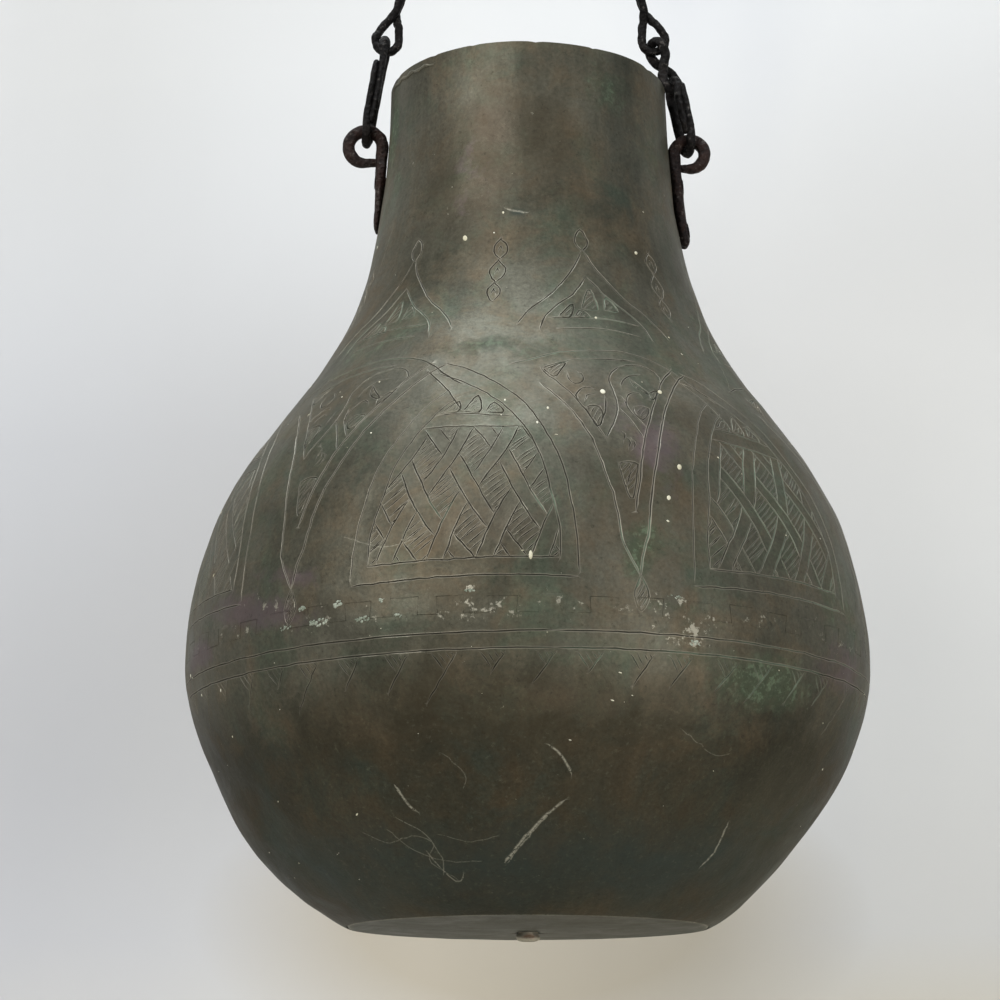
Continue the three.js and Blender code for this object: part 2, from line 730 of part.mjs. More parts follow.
const potGroup = groupAt(lowestLeft, left.eyeHinge);
potGroup.name = 'pot_tilt';
addPot(potGroup, [left, right]);

assembly.position.z = -(HOOK_BEND_Z + HOOK_LENGTH - HOOK_BAR);

export default assembly;
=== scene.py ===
import json
import math
import random
from functools import partial

import bpy
import numpy as np
from mathutils import Matrix, Vector
from mathutils.geometry import delaunay_2d_cdt


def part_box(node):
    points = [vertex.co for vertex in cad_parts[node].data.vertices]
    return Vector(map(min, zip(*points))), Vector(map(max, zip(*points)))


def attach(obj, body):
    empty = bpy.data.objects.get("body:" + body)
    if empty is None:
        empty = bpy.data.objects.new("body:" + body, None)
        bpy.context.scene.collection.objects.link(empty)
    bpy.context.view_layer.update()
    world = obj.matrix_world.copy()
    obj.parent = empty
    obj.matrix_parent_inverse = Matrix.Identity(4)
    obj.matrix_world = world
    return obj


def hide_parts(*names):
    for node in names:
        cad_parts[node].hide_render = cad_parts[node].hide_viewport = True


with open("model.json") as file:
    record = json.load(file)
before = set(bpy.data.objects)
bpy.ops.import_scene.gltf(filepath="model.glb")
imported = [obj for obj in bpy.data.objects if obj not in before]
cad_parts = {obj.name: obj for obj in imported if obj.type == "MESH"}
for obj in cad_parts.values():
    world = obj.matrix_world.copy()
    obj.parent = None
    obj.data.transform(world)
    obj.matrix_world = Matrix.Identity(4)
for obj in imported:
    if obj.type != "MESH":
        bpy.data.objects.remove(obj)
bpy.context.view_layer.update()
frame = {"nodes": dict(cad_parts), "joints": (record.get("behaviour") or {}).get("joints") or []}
BASE_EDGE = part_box("lower_shell")[0].z

MM = 0.001
WALL = 1.5
CLEARANCE = 0.3
BASE_RADIUS = 81.5
BELLY_RADIUS, BELLY_HEIGHT = 156, 116
NECK_RADIUS, NECK_HEIGHT = 70.5, 337
RIM_RADIUS, POT_HEIGHT = 66.5, 400
# Slope of the wall at the base and at the neck, in degrees from upright
BASE_SLOPE, NECK_SLOPE = 67, 6.7

# Seam of the bowl and the shoulder
SEAM_HEIGHT = 113.8
TAB_HEIGHT = 7.2
TAB_COUNT = 48
TAB_FLARE = 0.6

PLUG_RADIUS = 5.4
# How far the disc's middle hangs below the base edge, and the plug's end below the disc
DOME, PLUG_PROUD = 2.1, 3.8


# Wall of the pot


def bezier(start, start_way, start_pull, end, end_way, end_pull, count):
    """Points of a curve that leaves and arrives along given directions, each held for its pull."""
    t = np.linspace(0, 1, count)[:, None]
    first, last = start + start_pull * start_way, end - end_pull * end_way
    return start * (1 - t) ** 3 + 3 * first * t * (1 - t) ** 2 + 3 * last * t**2 * (1 - t) + end * t**3


def wall_line():
    """Radius and height of the wall from the base edge to the rim, at even small steps."""
    base, belly = np.array([BASE_RADIUS, 0.0]), np.array([BELLY_RADIUS, BELLY_HEIGHT], float)
    neck, rim = np.array([NECK_RADIUS, NECK_HEIGHT]), np.array([RIM_RADIUS, POT_HEIGHT])
    upright = np.array([0.0, 1.0])
    out = np.array([math.sin(math.radians(BASE_SLOPE)), math.cos(math.radians(BASE_SLOPE))])
    lean = np.array([-math.sin(math.radians(NECK_SLOPE)), math.cos(math.radians(NECK_SLOPE))])
    bowl = bezier(base, out, 22, belly, upright, 51, 200)
    shoulder = bezier(belly, upright, 109, neck, lean, 114, 400)
    top = bezier(neck, lean, 19, rim, upright, 19, 100)
    return np.vstack([bowl, shoulder[1:], top[1:]])


LINE = wall_line()
RUN = np.concatenate([[0], np.cumsum(np.hypot(*np.diff(LINE, axis=0).T))])
SLOPE = np.gradient(LINE, RUN, axis=0)
SLOPE /= np.hypot(SLOPE[:, 0], SLOPE[:, 1])[:, None]


def run_of(height):
    return np.interp(height, LINE[:, 1], RUN)


def radius_at(run):
    return np.interp(run, RUN, LINE[:, 0])


def degree_at(run):
    """Millimetres around the wall in one degree."""
    return math.radians(1) * radius_at(run)


def slope_at(run):
    """How the wall's radius and height change along it."""
    return np.interp(run, RUN, SLOPE[:, 0]), np.interp(run, RUN, SLOPE[:, 1])


def soft_oval(turn, height, angle, level, wide, tall, tilt):
    """How far places lie in an oval on the wall: 1 in its middle, fading out around it."""
    across = (turn - angle + 180) % 360 - 180
    up = height - level - across * tilt
    return np.exp(-((across / wide) ** 2) - (up / tall) ** 2)


# Hammer marks: wavelength, height, how many waves run over each other
HAMMER_WAVES = [(15, 0.02, 10), (27, 0.06, 8), (70, 0.12, 5)]


def hammer_marks(points):
    """Small unevenness of raised sheet metal, along the wall's normal, in millimetres."""
    rng = random.Random(7)
    total = np.zeros(len(points))
    for wavelength, height, count in HAMMER_WAVES:
        for _ in range(count):
            way = Vector((rng.gauss(0, 1), rng.gauss(0, 1), rng.gauss(0, 1))).normalized()
            turn = rng.uniform(0, 2 * math.pi)
            total += height * np.sin(points @ np.array(way) * 2 * math.pi / wavelength + turn)
    return total


# Dents: angle, height, half width in degrees, half height, tilt, depth. A bulge has a depth
# below zero.
DENTS = [
    (88, 30, 9, 20, 0.3, 0.9),
    (58, 30, 9, 20, 0.5, 0.8),
    (-82, 33, 22, 20, 0, -3.3),
    (-62, 40, 7, 22, -0.6, 0.9),
    (88, 160, 10, 22, 0, 1.4),
    (-86, 250, 9, 24, 0, 1.2),
    (150, 60, 14, 20, 0.3, 2.6),
    (-140, 190, 12, 18, -0.2, 1.8),
    (12, 60, 20, 22, 0.2, 0.8),
    (-30, 75, 16, 16, 0, 0.6),
    (40, 380, 12, 16, 0, 0.8),
]


def dents(turn, height):
    total = np.zeros(len(turn))
    for *oval, depth in DENTS:
        total -= depth * soft_oval(turn, height, *oval)
    return total


# Hammer marks and dents fade out over this height above the base edge, where the disc is fitted
PLAIN_EDGE = 12


def on_wall(turn, run, depth=0.0):
    """Points at an angle in degrees and a run up the wall, a depth inside its outer face."""
    turn, run = np.asarray(turn, float), np.asarray(run, float)
    radius, height = radius_at(run), np.interp(run, RUN, LINE[:, 1])
    slope_r, slope_z = slope_at(run)
    side, front = np.sin(np.radians(turn)), -np.cos(np.radians(turn))
    flat = np.column_stack([radius * side, radius * front, height])
    normal = np.column_stack([slope_z * side, slope_z * front, -slope_r])
    rise = (hammer_marks(flat) + dents(turn, height)) * np.clip(height / PLAIN_EDGE, 0, 1)
    point = flat + normal * (rise - depth)[:, None]
    point[:, 2] += BASE_EDGE / MM
    return point * MM


def new_mesh(name, points, edges=(), faces=()):
    mesh = bpy.data.meshes.new(name)
    mesh.from_pydata([tuple(p) for p in points], edges, faces)
    return mesh


def new_object(name, data):
    thing = bpy.data.objects.new(name, data)
    bpy.context.scene.collection.objects.link(thing)
    return thing


def new_piece(name, points, faces, material):
    """A piece of the pot, shaded smooth."""
    mesh = new_mesh(name, points, [], faces)
    mesh.validate()
    mesh.materials.append(material)
    mesh.shade_smooth()
    piece = new_object(name, mesh)
    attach(piece, "pot")
    return piece


def write_values(mesh, name, values, kind="FLOAT"):
    """Stores a number, or a vector, on each point of a mesh."""
    layer = mesh.attributes.new(name, kind, "POINT")
    layer.data.foreach_set("value" if kind == "FLOAT" else "vector", np.array(values, np.float32).ravel())


# Engraving. A stroke is a row of (angle, height) points with a width and a depth.

STROKES = []
HAND = random.Random(21)


def curve_between(a, b, c, d, t):
    """Places between b and c on a smooth curve through a, b, c and d; t goes from 0 to 1."""
    return 0.5 * (2 * b + (c - a) * t + (2 * a - 5 * b + 4 * c - d) * t**2 + (3 * b - a - 3 * c + d) * t**3)


def smooth_row(points, step):
    """A curve through (angle, height) points, as (angle, run) points about a step apart."""
    given = np.array([(angle, float(run_of(height))) for angle, height in points])
    if len(given) == 2:
        dense = given[0] + (given[1] - given[0]) * np.linspace(0, 1, 40)[:, None]
    else:
        padded = np.vstack([2 * given[0] - given[1], given, 2 * given[-1] - given[-2]])
        t = np.linspace(0, 1, 24, endpoint=False)[:, None]
        parts = [curve_between(*padded[i : i + 4], t) for i in range(len(given) - 1)]
        dense = np.vstack([*parts, given[-1:]])
    scale = degree_at(dense[:, 1].mean())
    along = np.concatenate([[0], np.cumsum(np.hypot(np.diff(dense[:, 0]) * scale, np.diff(dense[:, 1])))])
    at = np.linspace(0, along[-1], max(2, int(along[-1] / step) + 1) + 1)
    return np.column_stack([np.interp(at, along, dense[:, 0]), np.interp(at, along, dense[:, 1])])


# Width of a stroke at its two ends
POINTED = 0.12


def stroke(points, width=0.8, depth=0.3, step=3.5, wobble=0.25, kind="line"):
    """Adds one engraved line, cut by hand: it wavers and thins out at its ends."""
    row = smooth_row(points, step)
    scale = degree_at(row[:, 1])
    for i in range(len(row)):
        row[i, 0] += HAND.gauss(0, wobble * 0.5) / scale[i]
        row[i, 1] += HAND.gauss(0, wobble * 0.5)
    size = np.full(len(row), width)
    for i in range(1, len(row) - 1):
        size[i] *= HAND.uniform(0.75, 1.15)
    size[0] = size[-1] = POINTED
    STROKES.append((row, size, depth * HAND.uniform(0.8, 1.15), kind))


def local(turn, height, centre, level):
    """Millimetres to the right of and above a place on the wall."""
    return (np.asarray(turn) - centre) * degree_at(run_of(level)), run_of(height) - run_of(level)


def from_local(u, v, centre, level):
    """The angle and height of a place that is given in millimetres from another."""
    run = run_of(level) + np.asarray(v)
    return centre + np.asarray(u) / degree_at(run_of(level)), np.interp(run, RUN, LINE[:, 1])


def inside(polygon, u, v):
    """Which places lie inside a closed outline."""
    result = np.zeros(np.shape(u), bool)
    for (x0, y0), (x1, y1) in zip(polygon, [*polygon[1:], polygon[0]]):
        crosses = (y0 > v) != (y1 > v)
        with np.errstate(divide="ignore", invalid="ignore"):
            result ^= crosses & (u < (x1 - x0) * (v - y0) / (y1 - y0) + x0)
    return result


def to_line(u, v, dx, dy):
    """Distance of places from a straight line that leads from zero to (dx, dy), and how far along."""
    t = np.clip((u * dx + v * dy) / max(dx * dx + dy * dy, 1e-9), 0, 1)
    return np.hypot(u - t * dx, v - t * dy), t


def distance(points, u, v):
    best = np.full(np.shape(u), 1e9)
    for (x0, y0), (x1, y1) in zip(points[:-1], points[1:]):
        best = np.minimum(best, to_line(u - x0, v - y0, x1 - x0, y1 - y0)[0])
    return best


def stretches(mask):
    """Start and end of each unbroken stretch of true values; the end is one past its last."""
    marks = np.flatnonzero(np.diff(np.concatenate([[False], mask, [False]]).astype(int)))
    return zip(marks[::2], marks[1::2])


def hatch(keep, box, centre, level, angle=42, pitch=2.2, width=0.65, depth=0.36, shorten=0.7):
    """Fills the places that keep() allows, within a box of local millimetres, with strokes."""
    low, high = np.array(box[0], float), np.array(box[1], float)
    middle, reach, fine = (low + high) / 2, np.hypot(*(high - low)) / 2 + 2, 0.3
    way = np.array([math.cos(math.radians(angle)), math.sin(math.radians(angle))])
    cross = np.array([-way[1], way[0]])
    offset = -reach
    while offset < reach:
        offset += pitch * HAND.uniform(0.8, 1.25)
        bend = math.radians(HAND.gauss(0, 2.5))
        tilt = math.cos(bend) * way + math.sin(bend) * cross
        t = np.arange(-reach, reach, fine)
        at = middle + cross * offset + tilt * t[:, None]
        allowed = keep(at[:, 0], at[:, 1]) & (at >= low).all(1) & (at <= high).all(1)
        for start, end in stretches(allowed):
            if end - start < (2 * shorten + 1.4) / fine:
                continue
            cuts = shorten * HAND.uniform(0.3, 1.3), shorten * HAND.uniform(0.3, 1.3)
            ends = np.array([t[start] + cuts[0], t[end - 1] - cuts[1]])
            turn, height = from_local(*(middle + cross * offset + tilt * ends[:, None]).T, centre, level)
            stroke(list(zip(turn, height)), width, depth, step=9, wobble=0.1)


def closed_hatch(corners, centre, level, angle=42, pitch=2.0, width=0.5):
    """An outlined, hatched figure; corners are (angle, height)."""
    u, v = local([c[0] for c in corners], [c[1] for c in corners], centre, level)
    figure = list(zip(u, v))
    box = ((min(u), min(v)), (max(u), max(v)))
    hatch(lambda a, b: inside(figure, a, b), box, centre, level, angle, pitch, width, 0.26, 0.5)
    stroke([*corners, corners[0]], 0.75, 0.35, step=2.5, wobble=0.15)


def mirrored(points):
    return [(-angle, height) for angle, height in points]


def moved(points, turn):
    return [(angle + turn, height) for angle, height in points]


def lines(centre, rows, *looks, **more):
    """Strokes through rows of points that are drawn about an angle of zero."""
    for row in rows:
        stroke(moved(row, centre), *looks, **more)


# Angles of the six great arches, spaced unevenly by the maker's eye
ARCHES = [-69, -10, 43.5, 104, 165, 226]
# The pendant in front is drawn where it stands, and the others are stretched to their gaps
FRONT_MIDDLE, FRONT_GAP = (ARCHES[1] + ARCHES[2]) / 2, ARCHES[2] - ARCHES[1]


def arch_gaps():
    """Each arch's angle, the gap up to the next arch, and the gap's middle."""
    for angle, following in zip(ARCHES, [*ARCHES[1:], ARCHES[0] + 360]):
        yield angle, following - angle, (following + angle) / 2


def in_gap(points, middle, gap):
    """Moves points of the pendant in front to another gap."""
    stretch = gap / FRONT_GAP
    return [((angle - FRONT_MIDDLE) * stretch + middle, height) for angle, height in points]


def great_arch(c, shift):
    """One pointed cartouche: its bands, tie, hatched ground and strapwork."""
    outer = [(17.7, 130), (17.3, 150), (16.5, 165), (15.5, 178), (14, 188), (11.5, 200), (9, 209), (5, 217)]
    inner = [(14.8, 136), (14.8, 150), (13.3, 168), (12.5, 178), (11, 188), (9, 197), (6, 206), (3, 212)]
    tip_outer, tip_inner = [(1, 223), (-3, 228), (-8, 231.5)], [(-0.8, 217.5), (-4.5, 222), (-9, 226)]
    tie_foot = 196.2
    tie = [[(-6.6, 203), (0, 202.6), (7.4, 201.2)], [(-8.6, 197), (0, tie_foot), (8.9, 195.4)]]
    foot = [[(-14.9, 135.4), (-5, 136.2), (5, 136.6), (14.6, 136.4)],
            [(-17.6, 127.6), (-6, 128.8), (6, 129.2), (17.4, 128.6)]]
    lines(c, [outer + tip_outer, inner + tip_inner])
    lines(c, [mirrored(outer)], 0.5, 0.14)
    lines(c, [mirrored(inner)], 0.65, 0.24)
    lines(c, tie + foot)
    for corners in (((-6, 204), (-2.6, 204), (-2.9, 209.5)), ((-1.8, 204), (1.4, 203.8), (0.5, 212.5)),
                    ((2.4, 203.6), (5.8, 203), (3.6, 208.6))):
        closed_hatch(moved(corners, c), c, 206, angle=52, pitch=1.7)
    level = 166
    whole = inner + mirrored(inner)[::-1]
    u, v = local([angle for angle, _ in whole], [height for _, height in whole], 0, level)
    arch = list(zip(u, v))
    top = float(local(0, tie_foot, 0, level)[1])

    def field(a, b):
        return inside(arch, a, b) & (b < top)

    strapwork(c, level, field, ((min(u), min(v)), (max(u), max(v))), shift)


# The woven bands: half their width, the distance between them, and their two directions
STRAP_HALF, STRAP_PITCH = 3.1, 18.5
STRAP_SHARE = STRAP_HALF / STRAP_PITCH
RISING, FALLING = math.radians(64), math.radians(58)
STRAP_WAYS = [(math.cos(RISING), math.sin(RISING)), (-math.cos(FALLING), math.sin(FALLING))]


def off_band(way, a, b, shift):
    """How far places lie from the nearest band of one direction, and that band's number."""
    waved_a, waved_b = a + 1.3 * np.sin(b / 9 + shift), b + 1.1 * np.sin(a / 8 - shift)
    place = (way[0] * waved_b - way[1] * waved_a + shift) / STRAP_PITCH
    return np.abs(place - np.round(place)), np.round(place)


def strapwork(c, level, field, box, shift):
    """Slanting bands woven over and under each other on a hatched ground."""

    def ground(a, b):
        clear = [off_band(way, a, b, shift)[0] > STRAP_SHARE for way in STRAP_WAYS]
        return field(a, b) & clear[0] & clear[1]

    hatch(ground, box, c, level)
    t = np.arange(-60, 60, 0.5)
    for k, way in enumerate(STRAP_WAYS):
        for band in range(-4, 5):
            for side in (-1, 1):
                across = (band + side * STRAP_SHARE) * STRAP_PITCH - shift
                a, b = -way[1] * across + way[0] * t, way[0] * across + way[1] * t
                a, b = a - 1.3 * np.sin(b / 9 + shift), b - 1.1 * np.sin(a / 8 - shift)
                reach, other = off_band(STRAP_WAYS[1 - k], a, b, shift)
                hidden = (reach < STRAP_SHARE) & ((other + band + k) % 2 == 0)
                for start, end in stretches(field(a, b) & ~hidden):
                    if end - start < 6:
                        continue
                    picked = [*range(start, end - 4, 7), end - 1]
                    turn, height = from_local(a[picked], b[picked], c, level)
                    stroke(list(zip(turn, height)))


def spandrel(c, gap):
    """The pendant between two arches, with its scrolls, leaves and drop."""

    def line(*points, **looks):
        stroke(in_gap(points, c, gap), **looks)

    def leaf(level, angle, pitch, *corners):
        closed_hatch(in_gap(corners, c, gap), c, level, angle, pitch)

    def tendrils(*rows, width=0.7):
        for row in rows:
            line(*row, width=width, step=2)

    line((2.4, 219), (5.8, 211), (8.6, 202), (10.4, 193), (11.6, 183), (12.7, 172), (13.6, 162), (14.1, 153),
         (14.4, 145), (15.4, 139), (16.9, 130.4), kind="bright")
    line((2.5, 227.7), (5.2, 221.7), (8.1, 214.2), (10.1, 207), (11.4, 201), (12.4, 196), (13.4, 190.6))
    line((20.3, 231), (18.1, 227.6), (16.7, 222.8), (16.9, 217.5), (17, 211.4), (16.5, 205), (15.5, 199.5),
         (14.3, 195), (13.4, 190.6))
    line((14.9, 213), (14.6, 207.7), (13.7, 202.3), (12.4, 196.4), depth=0.35)
    leaf(202, 62, 1.8, (10.6, 206.5), (12, 207.9), (13.4, 207.2), (13.6, 202.5), (12.2, 196.6))
    leaf(227, 50, 1.7, (3.1, 228), (5.1, 229.8), (8.2, 231.4), (6.7, 226.5), (5.4, 222.8))
    line((20.3, 231), (22.9, 232.3), (25.8, 232.3), (27.9, 230.5), (28.8, 227.5), (28.8, 224.6), depth=0.35)
    tendrils([(8.2, 224.8), (8.2, 222), (9, 219.6), (10.4, 219.8), (11.3, 222), (11.3, 224.6), (10.4, 226)],
             [(9.4, 210), (9.3, 213.3), (10.4, 216.5), (11.7, 217.8), (12.9, 217)])
    tendrils([(10.8, 210.2), (11.2, 212.7), (12, 213.9), (12.7, 213.6)], width=0.6)
    tendrils([(19.1, 219.8), (19.9, 223.1), (21.8, 225.8), (24.3, 227.2)],
             [(18.8, 207.1), (18.9, 211.3), (20, 215.2), (21.5, 216.7), (22.6, 215)])
    line((17.2, 207), (18.9, 200.4), (20.4, 191.6))
    line((18.5, 213.4), (18.9, 208.1), (19.9, 203.2), (21.6, 197.8))
    line((33.4, 232.6), (29.3, 225.5), (26.9, 218.6), (23.8, 207.9), (21.8, 199), (20.2, 190.6),
         (19.2, 182.6), (18.2, 173), (17.4, 164.6), (16.9, 157.8), width=0.9, depth=0.35, kind="bright")
    line((36.7, 231.2), (33.7, 226.9), (30.5, 219.9), (27.4, 211.3), (24.9, 201), (23.1, 191.4),
         (21.6, 181.3), (20.4, 171.6), (19.5, 161.4), (19, 153.4), (18.6, 146.3), (18, 142.8), (17.4, 136.8),
         (17.1, 130.4), width=0.95, depth=0.38, kind="bright")
    leaf(221, 55, 1.7, (21.5, 224.2), (24.6, 216.6), (22.1, 219.2))
    leaf(216, 55, 1.7, (24.4, 217), (27, 219.3), (24.7, 213.2))
    leaf(205, 48, 1.7, (20.2, 208.8), (23.2, 208.6), (21.3, 202), (19.9, 205))
    for shift, low in ((0, 190), (0.65, 187), (1.45, 186.4)):
        tendrils([(16.5 + shift, low + 5), (17 + shift, low + 3), (16.4 + shift, low)], width=0.65)
    leaf(172, 50, 1.9, (14.8, 179.2), (16.6, 180.3), (18.2, 179.6), (17.8, 174.7), (16.4, 162.6), (15.1, 175))
    tendrils([(15.8, 169), (16.6, 175), (16.9, 179.5)], width=0.6)
    drop(c)


def drop(c):
    """The hatched drop on which a pendant ends; it runs down over the seam."""
    outline = [(0.35, 130.4), (-0.65, 124), (-0.65, 119.9), (0.05, 115.5), (0.95, 117.7), (1.55, 122.7),
               (0.85, 127.6)]
    closed_hatch(moved(outline, c), c, 122, angle=56, pitch=1.6, width=0.8)


def top_border(c, gap):
    """Long arcs over a pendant that tie neighbouring arches together."""
    long_arc = [(-4, 229), (1, 233), (8, 237), (20, 239), (28, 237), (33, 232), (37, 225), (41, 218.5)]
    stroke(in_gap(long_arc, c, gap))
    stroke(in_gap([(3, 226.5), (8, 231.6), (14, 234), (24, 234.5)], c, gap))
    stroke(in_gap([(33, 228), (36.5, 220.5), (39, 214), (41.5, 205)], c, gap), depth=0.35)


def keel_arch(c):
    """The smaller pointed arch of the upper tier, with its drop-shaped finial."""
    outer = [(20.5, 252), (19, 257), (15.6, 263.5), (10.8, 270), (5.8, 280), (2.2, 288), (0.5, 294)]
    inner = [(14.8, 249), (13.6, 256), (10.6, 262), (5.2, 269.5), (2, 276), (0.3, 279.5)]
    sill = [[(-12.6, 256), (0, 257.2), (12.4, 256)], [(-10.6, 250), (0, 251.2), (10.6, 250)]]
    finial = [(0, 294), (1.9, 297.5), (1.9, 301), (0, 305.4), (-1.9, 301), (-1.9, 297.5), (0, 294)]
    lines(c, [outer, mirrored(outer), inner, mirrored(inner)])
    lines(c, sill, 0.75, 0.35)
    lines(c, [finial], 0.8, 0.35, step=1.8)
    for level, angle, corners in (
        (260, 55, ((-9.8, 257), (-5.6, 264.5), (-6.6, 257))),
        (266, 48, ((-3.2, 262), (0, 273.5), (1.4, 262.5))),
        (265, 50, ((3.2, 262), (4.6, 269.5), (7.4, 262.4))),
        (259, 50, ((-5.4, 257.4), (-3.4, 261.6), (-1.4, 257.4))),
    ):
        closed_hatch(moved(corners, c), c, level, angle)


def knot_column(c):
    """Three linked loops that stand between the smaller arches."""
    for turn, low, high, half in ((0.4, 289.5, 299.5, 2.1), (0, 276.2, 288.4, 2.3), (-0.5, 266, 275.6, 1.8)):
        middle = (low + high) / 2
        bows = [[(turn, foot), (turn + side * half, middle - 1.6), (turn + side * half * 0.9, middle + 2),
                 (turn - side * 0.4, head)]
                for side, foot, head in ((-1, low - 0.8, high + 1), (1, low - 0.4, high + 0.6))]
        lines(c, bows, 0.75, 0.35, step=2)
        heart = [(turn - 0.7, middle - 1.4), (turn, middle + 1.8), (turn + 0.7, middle - 1)]
        lines(c, [heart], 0.5, 0.25, step=2)


def engrave_shoulder():
    for k, (c, gap, middle) in enumerate(arch_gaps()):
        great_arch(c, 2.5 * k % 9)
        spandrel(middle, gap)
        top_border(middle, gap)
        keel_arch(middle + (1 if gap == FRONT_GAP else -0.5))
        knot_column(c + 0.7)
    scratches(SHOULDER_SCRATCHES)


def engrave_bowl():
    """Two lines under the seam, slanted strokes and hatched triangles below them, and the drops' tips."""
    for low, high in ((105.9, 0.8), (99.3, 0.7)):
        row = [(a, low + high * math.sin(math.radians(a * 2 + 40))) for a in range(-180, 181, 8)]
        for part in (row[:24], row[23:]):
            stroke(part, 0.8, 0.35, step=5)
    pitch = 360 / TAB_COUNT
    for k in range(TAB_COUNT):
        p = -176.3 + k * pitch + HAND.uniform(-0.7, 0.7)
        slant = HAND.uniform(0.24, 0.31)
        end = HAND.choice((90, 86, HAND.uniform(76, 84), HAND.uniform(74, 82)))
        stroke([(p, 98.4), (p - slant * (98.4 - end), end)], 0.7, 0.34, kind="dark")
        for start in (-3.9, -2.8, -1.7, -0.8)[HAND.randrange(2):]:
            down = -start / 0.54 * HAND.uniform(0.8, 0.95)
            stroke([(p + start, 98.3), (p + start + 0.27 * down, 98.3 - down)], 0.6, 0.3, kind="dark")
    for _, _, middle in arch_gaps():
        drop(middle)
    scratches(BOWL_SCRATCHES)


# Scratches and scrapes down to bare metal: points, width
SHOULDER_SCRATCHES = [
    ([(42, 205), (48, 210)], 0.4),
    ([(-30, 150), (-22, 143), (-17, 146)], 0.35),
    ([(52, 232), (57, 246)], 0.5),
    ([(-62, 300), (-58, 318)], 0.4),
    ([(-8, 315), (-3, 313.6), (0, 313)], 0.9),
    ([(120, 180), (132, 172)], 0.5),
    ([(-150, 240), (-143, 225)], 0.4),
]
BOWL_SCRATCHES = [
    ([(-5.1, 19.1), (-1.6, 26.5), (2.6, 35), (6.8, 42.5)], 1.1),
    ([(-4.4, 19.4), (-0.4, 27.6), (4, 37)], 0.6),
    ([(42.5, 19.6), (43.8, 27), (43, 37.5)], 1.0),
    ([(-24.3, 49.3), (-23, 43), (-21.2, 38.8)], 1.3),
    ([(3.3, 62.8), (5.8, 58), (7.6, 51.8)], 1.0),
    ([(-29, 33), (-25, 25), (-18, 20), (-10, 19.6)], 0.3),
    ([(-35, 32), (-30, 28), (-24, 30), (-20, 27), (-22, 20), (-17, 13)], 0.3),
    ([(-26, 37), (-21, 30), (-19, 21), (-20, 15)], 0.35),
    ([(-22, 24), (-20, 17), (-17, 12), (-15, 15)], 0.5),
    ([(-18, 30), (-12, 27), (-6, 29)], 0.25),
    ([(-14, 60), (-11, 52), (-11.5, 47)], 0.25),
    ([(26, 70), (33, 62), (36, 63)], 0.25),
    ([(100, 60), (112, 48)], 0.6),
    ([(170, 40), (176, 52)], 0.6),
]


def scratches(rows):
    for points, width in rows:
        stroke(points, width, 0.05, step=2.4, wobble=0.35, kind="scrape")


# Sheets of the pot, cut into sectors along the wall and joined again


def tab_edge(turn0, turn1, room):
    """The seam's edge between two angles, as (angle, run) points; tabs widen upwards. The edge
    stands back from the joint's middle by room, which is below zero for the bowl."""
    degree = math.radians(1) * BELLY_RADIUS
    pitch, flare = 360 / TAB_COUNT, TAB_FLARE / degree
    low = float(run_of(SEAM_HEIGHT + room))
    points = [(turn0, low)]
    for k in range(round(turn0 / pitch), round(turn1 / pitch)):
        rng = random.Random(100 + k % TAB_COUNT)
        centre = (k + 0.5) * pitch + rng.uniform(-0.3, 0.3)
        high = float(run_of(SEAM_HEIGHT + TAB_HEIGHT + rng.uniform(-0.7, 0.5) + room))
        side = pitch / 4 * rng.uniform(0.9, 1.08) + room / degree
        slant = rng.uniform(-0.1, 0.1)
        points += [(centre - side, low), (centre - side - flare + slant, high)]
        points += [(centre + side + flare + slant, high), (centre + side, low)]
    return [*points, (turn1, low)]


# Nicks in the rim: angle, half width in degrees, depth
RIM_NICKS = [
    (-68, 1.5, 0.5), (-41, 1.2, 0.4), (-22, 1, 0.35), (3, 1.5, 0.5), (27, 1, 0.4), (58, 2, 0.6),
    (110, 2, 0.6), (-120, 1.5, 0.5), (160, 1.5, 0.5),
]


def rim_edge(turn0, turn1):
    """The rim between two angles: worn a little uneven, with small nicks."""
    turns = np.linspace(turn0, turn1, int(round((turn1 - turn0) / 1.5)) + 1)
    worn = 0.3 + 0.15 * np.sin(np.radians(turns * 3 + 40)) + 0.1 * np.sin(np.radians(turns * 7))
    for angle, half, deep in RIM_NICKS:
        worn += deep * np.exp(-(((turns - angle) / half) ** 2))
    return [(float(turn), float(RUN[-1] - loss)) for turn, loss in zip(turns, worn)]


def base_edge(turn0, turn1):
    turns = np.linspace(turn0, turn1, int(round((turn1 - turn0) / 3)) + 1)
    return [(float(turn), 0.0) for turn in turns]


SECTORS = 12
SECTOR = 360 / SECTORS
BORDERS = [-180 + SECTOR * k for k in range(SECTORS + 1)]
# Width of the raised lip beside a groove
LIP = 0.28
# Angles are stretched to about millimetres while a sheet is cut into triangles
STRETCH = np.array([2.2, 1.0])


def stroke_rows(row, size):
    """The bottom, edges and lips of an engraved line, as rows of (angle, run)."""
    scale = np.column_stack([degree_at(row[:, 1]), np.ones(len(row))])
    way = np.gradient(row, axis=0) * scale
    way /= np.hypot(way[:, 0], way[:, 1])[:, None] + 1e-9
    side = np.column_stack([-way[:, 1], way[:, 0]]) / scale
    half = (size / 2)[:, None]
    return [row, row + side * half, row - side * half, row + side * (half + LIP), row - side * (half + LIP)]


